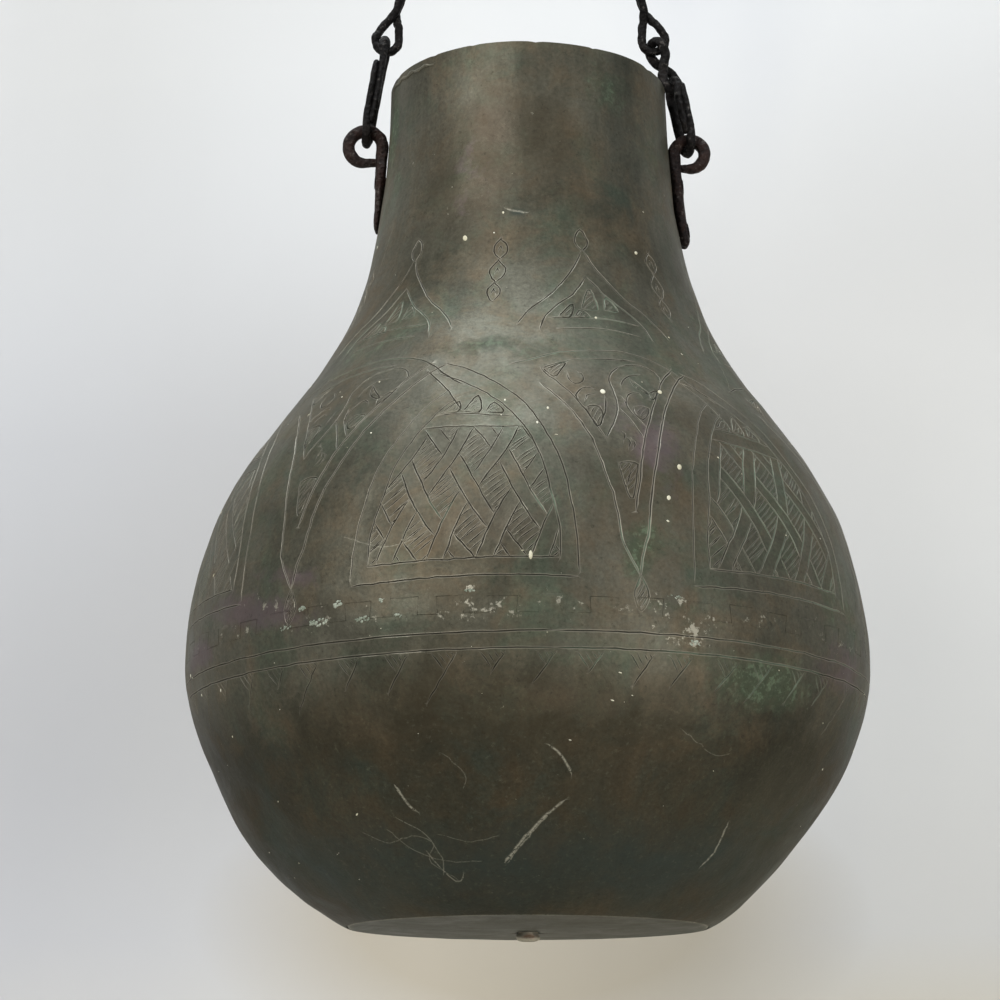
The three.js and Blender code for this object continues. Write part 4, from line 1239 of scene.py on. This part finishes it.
def grown(name, body, mesh, group, **values):
    """A piece that a group's nodes grow from the points of a mesh; only the result is kept."""
    piece = new_object(name, mesh)
    nodes = piece.modifiers.new(name, "NODES")
    nodes.node_group, names = group
    for label, value in values.items():
        nodes[names[label.replace("_", " ")]] = value
    made = bpy.data.meshes.new_from_object(piece.evaluated_get(bpy.context.evaluated_depsgraph_get()))
    piece.modifiers.clear()
    piece.data = made
    for spare in ("middle", "across", "half", "depth"):
        if spare in made.attributes:
            made.attributes.remove(made.attributes[spare])
    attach(piece, body)
    return piece


def forged_bar(name, body, stations, is_loop, material, **sizes):
    """A bar swept along stations of (point, direction across, half width, half depth)."""
    points, sides, halves, depths = zip(*stations)
    count = len(points)
    mesh = new_mesh(name, points, [(i, (i + 1) % count) for i in range(count if is_loop else count - 1)])
    across = []
    for i, side in enumerate(sides):
        ahead = Vector(points[(i + 1) % count if is_loop else min(i + 1, count - 1)])
        behind = Vector(points[i - 1 if is_loop else max(i - 1, 0)])
        way = (ahead - behind).normalized()
        across.append((side - way * side.dot(way)).normalized())
    write_values(mesh, "across", across, "FLOAT_VECTOR")
    write_values(mesh, "half", halves)
    write_values(mesh, "depth", depths)
    return grown(name, body, mesh, BAR, Material=material, **sizes)


# Pieces of the pot


SHOULDER_TONES = [colour(74, 72, 60), colour(103, 101, 89), colour(96, 83, 65), colour(76, 90, 75)]
BOWL_TONES = [colour(44, 44, 35), colour(64, 61, 49), colour(70, 58, 42), colour(46, 60, 54)]
BASE_TONES = [colour(49, 51, 43), colour(70, 70, 60), colour(64, 60, 49), colour(54, 62, 52)]
PLUG_TONES = [colour(96, 70, 52), colour(150, 126, 104), colour(84, 58, 44), colour(120, 96, 78)]
BODY_COPPER = copper("body_copper", SHOULDER_TONES, BOWL_TONES)
BASE_COPPER = copper("base_copper", BASE_TONES)
PLUG_COPPER = copper("plug_copper", PLUG_TONES, roughness=0.55)
CHAIN_IRON = iron("chain_iron", colour(18, 17, 18), colour(38, 37, 38), colour(46, 39, 36), 0.15)
STRAP_IRON = iron("strap_iron", colour(30, 25, 25), colour(54, 45, 44), colour(66, 46, 40), 0.5)


def strokes_of(engrave):
    """The strokes that one engraver's function makes, taken off the common list."""
    engrave()
    made = list(STROKES)
    STROKES.clear()
    return made


def lap_ring():
    """The part of the bowl's sheet that goes up inside behind the tabs and carries the solder."""
    outer = [at_depth(z, WALL + CLEARANCE) for z in (110.5, 113.5, 117, 120.5, 124)]
    inner = [at_depth(z, 2 * WALL + CLEARANCE) for z in (124, 120.5, 117, 113.5, 110)]
    return turned([at_depth(108.6, WALL * 0.6), *outer, *inner, at_depth(107.6, WALL * 1.2)], 144)


def seam_solder():
    """Solder that fills the joint between the tabs almost to the face of the sheets."""
    sides = 288
    turns = np.arange(sides) * 360 / sides
    uneven = 0.09 * np.sin(np.radians(turns) * 31)
    outer = [(112.6, 0.9), (113.4, 0.14), (116, 0.1), (119, 0.12), (121.4, 0.16), (122.2, 0.9)]
    rows = [on_wall(turns, np.full(sides, run_of(z)), depth - uneven) for z, depth in outer]
    rows += [on_wall(turns, np.full(sides, run_of(z)), 1.42) for z in (122.2, 117.5, 112.6)]
    points = np.stack(rows, 1).reshape(-1, 3)
    piece = new_piece("seam_solder", points, ring_faces(sides, len(rows)), BODY_COPPER)
    write_marks(piece, *np.zeros((3, len(points))))


shoulder_edge, bowl_edge = partial(tab_edge, room=CLEARANCE / 2), partial(tab_edge, room=-CLEARANCE / 2)
# How far apart the points of each sheet lie, between its engraved lines
SHOULDER_SPACING, BOWL_SPACING = 3.4, 2.6
shoulder = engraved_sheet("shoulder_sheet", shoulder_edge, rim_edge, strokes_of(engrave_shoulder),
                          SHOULDER_SPACING, BODY_COPPER)
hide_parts("upper_shell")
bowl = engraved_sheet("bowl_sheet", base_edge, bowl_edge, strokes_of(engrave_bowl), BOWL_SPACING, BODY_COPPER,
                      lap_ring())
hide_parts("lower_shell")
seam_solder()


def base_disc():
    """The domed disc that closes the bowl, a little wrinkled, with its flange inside."""
    edge = at_depth(0, WALL + CLEARANCE)[0]
    hole, flat_radius = PLUG_RADIUS + CLEARANCE, 24
    radii = [hole, 9, 14, 19, 24, 31, 38, 45, 52, 59, 65, 70, 74, edge - 3, edge - 1.2, edge - 0.3]

    def sag(radius):
        rise = max(radius - flat_radius, 0) / (edge - flat_radius)
        return DOME * (rise * rise - 1)

    under = [(radius, sag(radius)) for radius in radii]
    flange = [at_depth(z, WALL + CLEARANCE) for z in (0.6, 3, 6, 9)]
    flange += [at_depth(z, 2 * WALL + CLEARANCE) for z in (9, 6, 3, WALL)]
    over = [(radius, sag(radius) + WALL) for radius in radii[-4::-1]]
    points, faces = turned([*under, *flange, *over], 144)
    place = points / MM
    reach = np.hypot(place[:, 0], place[:, 1])
    share = np.clip((edge - reach) / 12, 0, 1) * np.clip((reach - 10) / 20, 0, 1)
    points[:, 2] += hammer_marks(place * 0.8) * share * 0.8 * MM
    piece = new_piece("base_disc_sheet", points, faces, BASE_COPPER)
    # The disc's edge is painted pale in a patchy ring: rubbed bare metal and a painted highlight
    patchy = 0.7 + 0.3 * np.sin(place[:, 0] * 0.2) * np.sin(place[:, 1] * 0.31)
    rubbed_edge_and_highlight = np.exp(-((reach - edge) ** 2)) * patchy
    write_marks(piece, reach * 0, reach * 0, rubbed_edge_and_highlight)
    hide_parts("base_disc")


def base_plug():
    """The plug that closes the hole in the base: its end is beaten round and hollow, pale at the edges."""
    low = -DOME - PLUG_PROUD
    end = [(0.05, 0.9), (2.2, 0.6), (3.4, 0), (4.6, 0.35), (5.3, 1.2), (5.4, 2), (5.0, 2.9), (4.3, 3.5)]
    head = [(4.3, -0.3), (8.6, -0.3), (8.2, 0.6), (6.2, 1.3), (0.05, 1.3)]
    points, faces = turned([(radius, low + up) for radius, up in end] + head, 64)
    x, y, z = (points / MM).T
    z = z - BASE_EDGE / MM
    below = z < -1.5
    hollow = np.exp(-(((x - 0.6) / 3.2) ** 2) - (z - low - 2) ** 2) * (y < 0) * below
    points[:, 1] += hollow * 1.3 * MM
    points[:, 2] += below * 0.3 * np.sin(x * 0.9 + 1) * MM * (z > low + 1)
    piece = new_piece("base_plug_rivet", points, faces, PLUG_COPPER)
    worn = np.clip(1.15 - 1.7 * hollow, 0, 1) * below * (np.hypot(x, y) > 2.5)
    write_marks(piece, worn * 0, worn, worn)
    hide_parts("base_plug")


base_disc()
base_plug()


# Forged pieces. Their places are millimetres in the common frame.


HINGE = {joint["child"]: Vector(joint["pos_m"]) / MM for joint in frame["joints"]}
BACK = Vector((0, 1, 0))
# Half the thickness of each bar, and the play between links
EYE_BAR, PLAIN_BAR, TWISTED_BAR, RING_BAR = 3, 2.4, 2, 3
LINK_PLAY = 0.8
# Each side's eye radius and how far its middle lies below the rim, the length of its strap's
# shank and the thickness of the shank's tip, and its links
LEFT = {"name": "left", "sign": -1, "radius": 8.2, "below": 26, "shank": 35.5, "tip": 2.6, "links": 7}
RIGHT = {"name": "right", "sign": 1, "radius": 7.3, "below": 30, "shank": 40, "tip": 5, "links": 8}
STRAP_THICKNESS, STRAP_HALF_WIDTH = 5.6, 6.0
# Half the width of a link between its bars' middles: plain, twisted and short
PLAIN_HALF, TWISTED_HALF, SHORT_HALF = 6.6, 5.8, 4.7
# A link below this length is a short one, and its bar is a little thicker
SHORT_LENGTH, SHORT_BAR = 34, 2.3
RING_RADIUS = 16
# Radius of the hook's lower and upper bend, and its height between them
HOOK_LOW, HOOK_HIGH, HOOK_LENGTH = 8.5, 11, 44
# Degrees that links hang turned about their own length
LINK_TURNS = {
    ("left", 2): 5, ("left", 3): -4, ("right", 1): 14, ("right", 2): 42, ("right", 3): -6, ("right", 4): 4,
}


def refined(stations, is_loop, parts=4):
    """Stations with smooth curves between them, for rounder bends than the given points."""
    rows = [np.array([*point, *side, half, depth], float) for point, side, half, depth in stations]
    padded = [rows[-1], *rows, *rows[:2]] if is_loop else [rows[0], *rows, rows[-1]]
    fours = [padded[i : i + 4] for i in range(len(padded) - 3)]
    result = [curve_between(*four, k / parts) for four in fours for k in range(parts)]
    if not is_loop:
        result.append(rows[-1])
    return [(r[:3] * MM, Vector(r[3:6]).normalized(), r[6] * MM, r[7] * MM) for r in result]


def link_bottom(side, index):
    """The middle of what a link's lower bend rests on: the bend below it, or the eye's bar."""
    if index > 1:
        return HINGE[f"{side['name']}_link_{index - 1}"]
    out = EYE_CENTRES[side["name"]]
    pull = (HINGE[f"{side['name']}_link_1"] - out).normalized()
    return out + pull * (side["radius"] - EYE_BAR - PLAIN_BAR - LINK_PLAY)


def wall_out(height):
    """The wall's radius at a height, and how much further a step off the leaning wall goes sideways."""
    slope_r, slope_z = slope_at(run_of(height))
    return float(np.interp(height, LINE[:, 1], LINE[:, 0])), math.hypot(1, float(slope_r / slope_z))


def eye_centre(side):
    height = POT_HEIGHT - side["below"]
    out = wall_out(height)[0] + CLEARANCE + EYE_BAR + side["radius"]
    return Vector((side["sign"] * out, 0, height + BASE_EDGE / MM))


EYE_CENTRES = {side["name"]: eye_centre(side) for side in (LEFT, RIGHT)}


def link_line(side, index):
    """Lower end, directions along, across and back, and length between the bends' middles."""
    bottom, hinge = link_bottom(side, index), HINGE[f"{side['name']}_link_{index}"]
    own = PLAIN_BAR if index == 1 else TWISTED_BAR
    above = TWISTED_BAR if index < side["links"] else RING_BAR
    along = (hinge - bottom).normalized()
    length = (hinge - bottom).length + own + above + LINK_PLAY
    turn = Matrix.Rotation(math.radians(LINK_TURNS.get((side["name"], index), 0)), 3, along)
    return bottom, along, turn @ BACK.cross(along).normalized(), turn @ BACK, length


def plain_link(side):
    """A link whose thinned, blunt ends pass each other on the leg at the front."""
    bottom, along, across, back, length = link_line(side, 1)
    half, bar, thin = PLAIN_HALF, PLAIN_BAR, PLAIN_BAR * 0.68
    low, high = half, length - half
    leg = high - low
    shift = side["sign"] * thin * 0.9
    stations = []

    def add(up, deep, aside, wide, thick):
        stations.append((bottom + along * up + across * aside + back * deep, across, wide, thick))

    blunt = 0.78 if side is LEFT else 1.02
    add(low + leg * (blunt + 0.04), -half, shift, thin * 0.6, bar * 0.6)
    add(low + leg * blunt, -half * 1.02, shift, thin * 1.05, bar)
    add(low + leg * 0.5, -half * 1.05, shift, thin * 1.02, bar * 1.08)
    add(low + leg * 0.2, -half, shift * 0.95, thin * 1.05, bar)
    add(low, -half, shift * 0.4, bar * 0.85, bar)
    for i in range(1, 13):
        angle = math.pi * (1 - i / 12)
        worn = 0.85 if 2 < i < 10 else 0.95
        add(low - half * math.sin(angle), half * math.cos(angle), 0, bar * worn, bar * worn)
    for share in (0.33, 0.66):
        add(low + leg * share, half, 0, bar * 0.95, bar * 0.97)
    for i in range(12):
        angle = math.pi * i / 12
        add(high + half * math.sin(angle), half * math.cos(angle), 0, bar, bar)
    add(high, -half, -shift * 0.4, bar * 0.85, bar)
    add(low + leg * 0.78, -half, -shift * 0.95, thin * 1.05, bar)
    add(low + leg * 0.45, -half * 0.96, -shift, thin, bar)
    add(low + leg * 0.1, -half * 0.96, -shift, thin * 0.9, bar * 0.9)
    add(low + leg * 0.05, -half * 0.96, -shift, thin * 0.5, bar * 0.5)
    return stations, False


def twisted_link(side, index):
    """A ring pinched and turned a quarter at its waist, its two eyes at right angles."""
    bottom, along, across, back, length = link_line(side, index)
    is_short = length < SHORT_LENGTH
    half_width, bar = (SHORT_HALF, SHORT_BAR) if is_short else (TWISTED_HALF, TWISTED_BAR)
    middle = length * (0.5 if is_short else 0.44)
    waist, longest_twist = bar + 0.05, 4.4

    def eye(reach):
        """One eye's strand from its bend to the waist, as (width, distance from the bend)."""
        rise = reach - half_width
        tangent = math.atan2(rise, waist) - math.acos(half_width / math.hypot(waist, rise))
        row = []
        for i in range(9):
            angle = -math.pi / 2 + (tangent + math.pi / 2) * i / 8
            row.append((half_width * math.cos(angle), half_width + half_width * math.sin(angle)))
        width, height = row[-1]
        twist = min(longest_twist, (reach - height) * 0.8)
        neck = (waist + (width - waist) * twist / (reach - height), reach - twist)
        return [*row, neck, (waist * 1.04, reach - twist / 2)]

    strand = [*eye(middle), (waist, middle), *[(w, length - h) for w, h in reversed(eye(length - middle))]]

    def station(width, height):
        share = min(max((height - middle + longest_twist) / (2 * longest_twist), 0), 1)
        turn = math.pi / 2 * (share * share * (3 - 2 * share) * 0.5 + share * 0.5)
        at = bottom + along * height + across * width * math.cos(turn) + back * width * math.sin(turn)
        return at, across * -math.sin(turn) + back * math.cos(turn), bar, bar

    up = [station(w, h) for w, h in strand]
    down = [station(-w, h) for w, h in reversed(strand[1:-1])]
    return [*up, *down], True


def add_forged(name, body, node, stations, is_loop, material, finish, **sizes):
    piece = forged_bar(name, body, refined(stations, is_loop), is_loop, material, **sizes)
    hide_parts(node)
    return piece


def add_chain(side):
    for index in range(1, side["links"] + 1):
        name = f"{side['name']}_link_{index}"
        stations, is_loop = plain_link(side) if index == 1 else twisted_link(side, index)
        lumps = 0.00026 if index == 1 else 0.00042
        add_forged(f"{name}_bar", name, name, stations, is_loop, CHAIN_IRON, "chain_iron",
                   Seed=index * 1.7 + side["sign"], Lump_height=lumps, Lump_scale=230.0)


def eye_strap(side):
    """Up the wall, over the eye, and straight back under it to a thin end at the shank."""
    eye_bottom = POT_HEIGHT - side["below"] - side["radius"]
    end = eye_bottom - side["shank"]
    stations = []

    def shank(height, half, share):
        up = min(max((height - end) / (eye_bottom - end), 0), 1)
        depth = (side["tip"] + (STRAP_THICKNESS - side["tip"]) * up) / 2 * share
        radius, tilt = wall_out(height)
        out = radius + (CLEARANCE + depth) * tilt
        stations.append((Vector((side["sign"] * out, 0, height + BASE_EDGE / MM)), BACK, half, depth))

    for height, half, share in ((0, 0.45, 0.7), (2.5, 0.85, 1), (6, 1, 1), (side["shank"] / 2, 0.95, 1)):
        shank(end + height, STRAP_HALF_WIDTH * half, share)
    for height, half in ((6, 0.9), (1.5, 0.7)):
        shank(eye_bottom - height, STRAP_HALF_WIDTH * half, 1)
    centre = EYE_CENTRES[side["name"]]
    face = wall_out(eye_bottom)[0] + CLEARANCE + STRAP_THICKNESS
    last = -math.pi / 2 - math.asin((abs(centre.x) - face + 0.2) / side["radius"])
    for i in range(17):
        share = i / 16
        angle = math.pi + (last - math.pi) * share
        taper = max(share - 0.7, 0) / 0.3
        up = -1 if angle < -math.pi / 2 else math.sin(angle)
        at = centre + Vector((side["sign"] * side["radius"] * math.cos(angle), 0, side["radius"] * up))
        stations.append((at, BACK, EYE_BAR + (2.2 - EYE_BAR) * taper, EYE_BAR + (1.7 - EYE_BAR) * taper))
    name = f"{side['name']}_eye_strap"
    add_forged(f"{name}_bar", "pot", name, stations, False, STRAP_IRON, "strap_iron", Squareness=0.3,
               Lump_height=0.00032, Lump_scale=210.0, Sides=20, Seed=side["sign"] * 4.1)


def ring_and_hook():
    """A round ring, and a hook of one bar whose two bends open to opposite sides."""
    hinge = HINGE["ring"].z
    ring_z = hinge - RING_RADIUS + RING_BAR * 2 + LINK_PLAY
    turns = [2 * math.pi * k / 32 for k in range(32)]
    places = [Vector((RING_RADIUS * math.cos(t), 0, ring_z + RING_RADIUS * math.sin(t))) for t in turns]
    ring = [(place, BACK, RING_BAR, RING_BAR) for place in places]
    add_forged("suspension_ring_bar", "ring", "suspension_ring", ring, True, CHAIN_IRON, "chain_iron",
               Seed=9.0)
    low, high = hinge + HOOK_LOW, hinge + HOOK_LENGTH - HOOK_HIGH
    tip = RING_BAR / 2
    hook = [((-HOOK_LOW * 0.9, low + HOOK_LOW * 0.8), tip)]
    bends = ((HOOK_LOW, low, 180, 205, 0.85, 1), (HOOK_HIGH, high, 205, -210, 1.7, -0.8))
    for radius, middle, start, sweep, first, more in bends:
        for i in range(17):
            angle, share = math.radians(start + sweep * i / 16), i / 16
            place = (radius * math.cos(angle), middle + radius * math.sin(angle))
            hook.append((place, RING_BAR * min(first + share * more, 1)))
    hook.append(((HOOK_HIGH * 1.12, high - HOOK_HIGH * 0.6), tip))
    stations = [(Vector((0, y, z)), Vector((1, 0, 0)), size, size) for (y, z), size in hook]
    add_forged("suspension_hook_bar", "hook", "suspension_hook", stations, False, CHAIN_IRON, "chain_iron",
               Seed=5.0)


for side in (LEFT, RIGHT):
    add_chain(side)
    eye_strap(side)
ring_and_hook()
for name, node in frame["nodes"].items():
    if name.endswith(("rivet", "rove")):
        for slot in node.material_slots:
            slot.material = STRAP_IRON


# Small things on the surface


def rim_fold():
    """A thin, uneven fold of metal just below the rim on the left."""
    stations = []
    for i in range(23):
        share = i / 22
        turn = -78 + 38 * share
        run = float(RUN[-1]) - 3.4 - 0.5 * math.sin(i * 1.3) - 0.8 * share
        size = (0.7 + 0.25 * math.sin(i * 2.1)) * min(1, 5 * share, 5 * (1 - share)) + 0.12
        stations.append((on_wall([turn], [run], -0.05)[0] / MM, Vector((0, 0, 1)), size, size * 0.8))
    piece = forged_bar("rim_fold", "pot", refined(stations, False, 2), False, BODY_COPPER, Sides=8,
                       Lump_height=0.0001, Lump_scale=400.0)
    # The fold is painted a little pale, partly as bare metal and partly as a painted highlight along it
    write_values(piece.data, "bare", np.full(len(piece.data.vertices), 0.35))


# Specks of old paint and plaster: angle, height, half width, half height
SPECKS = [
    (-21.5, 301.6, 1.2, 1.8), (27.4, 218.8, 1.1, 1.6), (14.7, 215.8, 1.3, 1.8), (25.7, 180, 1.2, 1.7),
    (-8.7, 313.4, 0.6, 0.8), (38.7, 298.3, 0.9, 1.2), (18, 257.6, 0.7, 0.8), (3.6, 205.3, 0.6, 0.9),
    (-4.3, 209.6, 0.5, 0.7), (1.6, 197.4, 0.5, 0.8), (0.4, 137.3, 0.9, 2.1), (-33, 226, 0.5, 0.6),
    (22.7, 165, 1.0, 1.3),
]


# How many more small specks there are, and the heights between which they lie
SPECK_COUNT = 170
SPECK_BANDS = [(60, 110), (125, 340), (125, 340), (15, 110)]


def flat_drops(name, specks, material, thickness):
    """Flattened drops on the wall, one for each (angle, height, half width, half height)."""
    turns, runs = [s[0] for s in specks], [float(run_of(s[1])) for s in specks]
    low, high = on_wall(turns, runs, 0.12), on_wall(turns, runs, -0.5)
    mesh = new_mesh(name, low)
    write_values(mesh, "out", (high - low) / MM, "FLOAT_VECTOR")
    write_values(mesh, "size", [(*s[2:], thickness) for s in specks], "FLOAT_VECTOR")
    return grown(name, "pot", mesh, DROPS, Material=material)


def mottled(name, roughness, metallic, first, second):
    material, m, put = new_material(name, metallic, roughness)
    put("Base Color", m.mix(m.spread(m.noise(m.place(), 160.0), 0.4, 0.6), first, second))
    return material


def paint_specks():
    """Old paint and plaster that stick to the pot."""
    rng = random.Random(5)
    specks = list(SPECKS)
    for _ in range(SPECK_COUNT):
        size = rng.choice((0.16, 0.2, 0.26, 0.36, 0.5)) * rng.uniform(0.8, 1.2)
        long = rng.uniform(0.7, 2.2)
        level = rng.choice([rng.uniform(*band) for band in SPECK_BANDS])
        specks.append((rng.uniform(-180, 180), level, size * long, size / long))
    finish = mottled("old_paint", 0.6, 0.0, colour(236, 234, 216), colour(204, 198, 170))
    flat_drops("paint_specks", specks, finish, 0.3)


# Lumps of solder that stand out of the seam: angle, height, half width, half height
LUMPS = [
    (-40, 114, 3, 1), (-33.4, 114.5, 4.8, 1.5), (-36.6, 121, 1.6, 1.2), (-29.7, 121, 2.2, 1.4),
    (-25.5, 114, 3.2, 1.2), (-19.6, 114, 1.6, 0.9), (-22.4, 121, 1.3, 0.8), (-8.6, 123.1, 2.2, 1),
    (25.8, 104, 2.5, 1.2), (22.5, 122.4, 3.6, 0.6), (140, 114, 3, 1), (-120, 121, 2.4, 1.2), (98, 114, 2.6, 1),
]


def solder_lumps():
    rng = random.Random(11)
    drops = []
    for angle, level, wide, tall in LUMPS:
        for _ in range(int(6 + wide * tall * 2.5)):
            aside, up = rng.uniform(-1, 1), rng.uniform(-1, 1)
            size = tall * rng.uniform(0.25, 0.55) * (1.15 - 0.5 * abs(aside))
            turn = angle + math.degrees(aside * wide / BELLY_RADIUS)
            height = level + up * tall * (1 - 0.6 * aside * aside)
            drops.append((turn, height, size * rng.uniform(1, 1.9), size))
    finish = mottled("solder_grey", 0.5, 0.25, colour(172, 178, 164), colour(132, 140, 126))
    flat_drops("solder_lumps", drops, finish, 0.45)


rim_fold()
paint_specks()
solder_lumps()


# Stage, light and camera, in metres

WALL_CLOTH_BEHIND, FLOOR = 0.34, -1.05


def soft_wall():
    """A pale hanging cloth behind the pot, with a few shallow folds."""
    parts = 60
    points, faces = [], []
    for j in range(parts + 1):
        for i in range(parts + 1):
            x, z = -1.6 + 3.2 * i / parts, -1.6 + 3.0 * j / parts
            fold = 0.016 * math.sin(x * 9 + z * 4) + 0.008 * math.sin(x * 7 - z * 13 + 1)
            fold += 0.004 * math.sin(x * 31 + z * 9)
            points.append((x, WALL_CLOTH_BEHIND + fold + 0.05 * (x - 0.1) ** 2, z))
    row = parts + 1
    for a in (j * row + i for j in range(parts) for i in range(parts)):
        faces.append((a, a + 1, a + row + 1, a + row))
    mesh = new_mesh("soft_wall", points, [], faces)
    mesh.shade_smooth()
    material, m, put = new_material("wall_cloth", 0.0, 0.9)
    x, _, z = m.split(m.place())
    # Painted light and shade: the cloth is darker on the left and lighter high up
    shade = m.mix(m.spread(x, -0.3, 0.25), colour(210, 211, 215), colour(229, 229, 228))
    shade = m.mix(m.spread(z, -0.38, -0.14), shade, colour(228, 229, 230))
    # Painted shade of the cloth's folds: soft, cooler streaks
    folds = m.noise(m.joined(x, z=m.times(z, 0.25)), 5.0, 2.0, 0.4, 0.6)
    shade = m.mix(m.spread(folds, 0.5, 0.3, 0.0, 0.5), shade, colour(206, 208, 216))
    low = m.times(m.spread(z, -0.68, -0.75), m.spread(x, -0.2, 0.2, 0.25, 1.0))
    shade = m.mix(low, shade, colour(230, 223, 207))
    # The pot's soft shadow
    reach = m.vector("LENGTH", m.joined(x, m.times(m.plus(z, 0.67), 2.1)))
    put("Base Color", m.mix(m.spread(reach, 0.2, 0.1, 0.0, 0.8), shade, colour(192, 182, 162)))
    # From behind, the cloth is clear
    nodes = material.node_tree.nodes
    facing = m.add("ShaderNodeNewGeometry").outputs["Backfacing"]
    seen = {0: facing, 1: nodes["Principled BSDF"].outputs[0], 2: m.out("ShaderNodeBsdfTransparent")}
    feed(material.node_tree, nodes["Material Output"].inputs["Surface"], m.out("ShaderNodeMixShader", seen))
    mesh.materials.append(material)
    return new_object("soft_wall", mesh)


def pale_floor():
    corners = [(x, y, FLOOR) for x, y in ((-3, -3), (3, -3), (3, 3), (-3, 3))]
    mesh = new_mesh("pale_floor", corners, [], [(0, 1, 2, 3)])
    material, _, put = new_material("floor_plaster", 0.0, 0.9)
    put("Base Color", colour(214, 210, 200))
    mesh.materials.append(material)
    return new_object("pale_floor", mesh)


soft_wall()
pale_floor()


# Lamps: name, place, the place it shines at, size, power in watts, tint
POT_MIDDLE = (0, 0, -0.48)
LAMPS = [
    ("window", (-1.0, -1.4, 0.2), POT_MIDDLE, 0.9, 18, (1, 0.99, 0.97)),
    ("fill", (1.1, -1.2, 0.1), POT_MIDDLE, 1.2, 5, (0.94, 0.97, 1)),
    ("low_wash", (0.7, -0.9, -0.92), (0.42, WALL_CLOTH_BEHIND, -0.78), 0.6, 4.6, (1, 0.98, 0.95)),
    ("ceiling", (-0.25, -0.15, 1.3), POT_MIDDLE, 0.8, 14.5, (0.87, 0.95, 1)),
    ("wall_wash", (0.0, -0.4, 1.0), (0.0, WALL_CLOTH_BEHIND, -0.4), 1.4, 6, (1, 1, 1)),
]
for name, place, target, size, power, tint in LAMPS:
    lamp = bpy.data.lights.new(name, "AREA")
    lamp.shape, lamp.size, lamp.energy, lamp.color = "SQUARE", size, power, tint
    holder = new_object(name, lamp)
    holder.location = place
    holder.rotation_euler = (Vector(target) - Vector(place)).to_track_quat("-Z", "Y").to_euler()

# The room shines dimly on the pot, and the camera sees it pale
world = bpy.data.worlds.new("room")
bpy.context.scene.world = world
world.use_nodes = True
room = Maker(world.node_tree)
surface = world.node_tree.nodes["Background"]
seen = room.add("ShaderNodeLightPath").outputs["Is Camera Ray"]
feed(world.node_tree, surface.inputs["Strength"], 1.0)
feed(world.node_tree, surface.inputs["Color"], room.mix(seen, colour(126, 128, 130), colour(226, 227, 229)))

lens = bpy.data.cameras.new("camera")
lens.sensor_width, lens.lens, lens.shift_x = 36, 89.01, -0.028
lens.clip_start, lens.clip_end = 0.05, 50
viewer = new_object("camera", lens)
viewer.location = (0, -1.1238, -0.7777)
viewer.rotation_euler = (math.radians(103.77), 0, 0)
bpy.context.scene.camera = viewer
bpy.context.scene.view_settings.view_transform = "Standard"
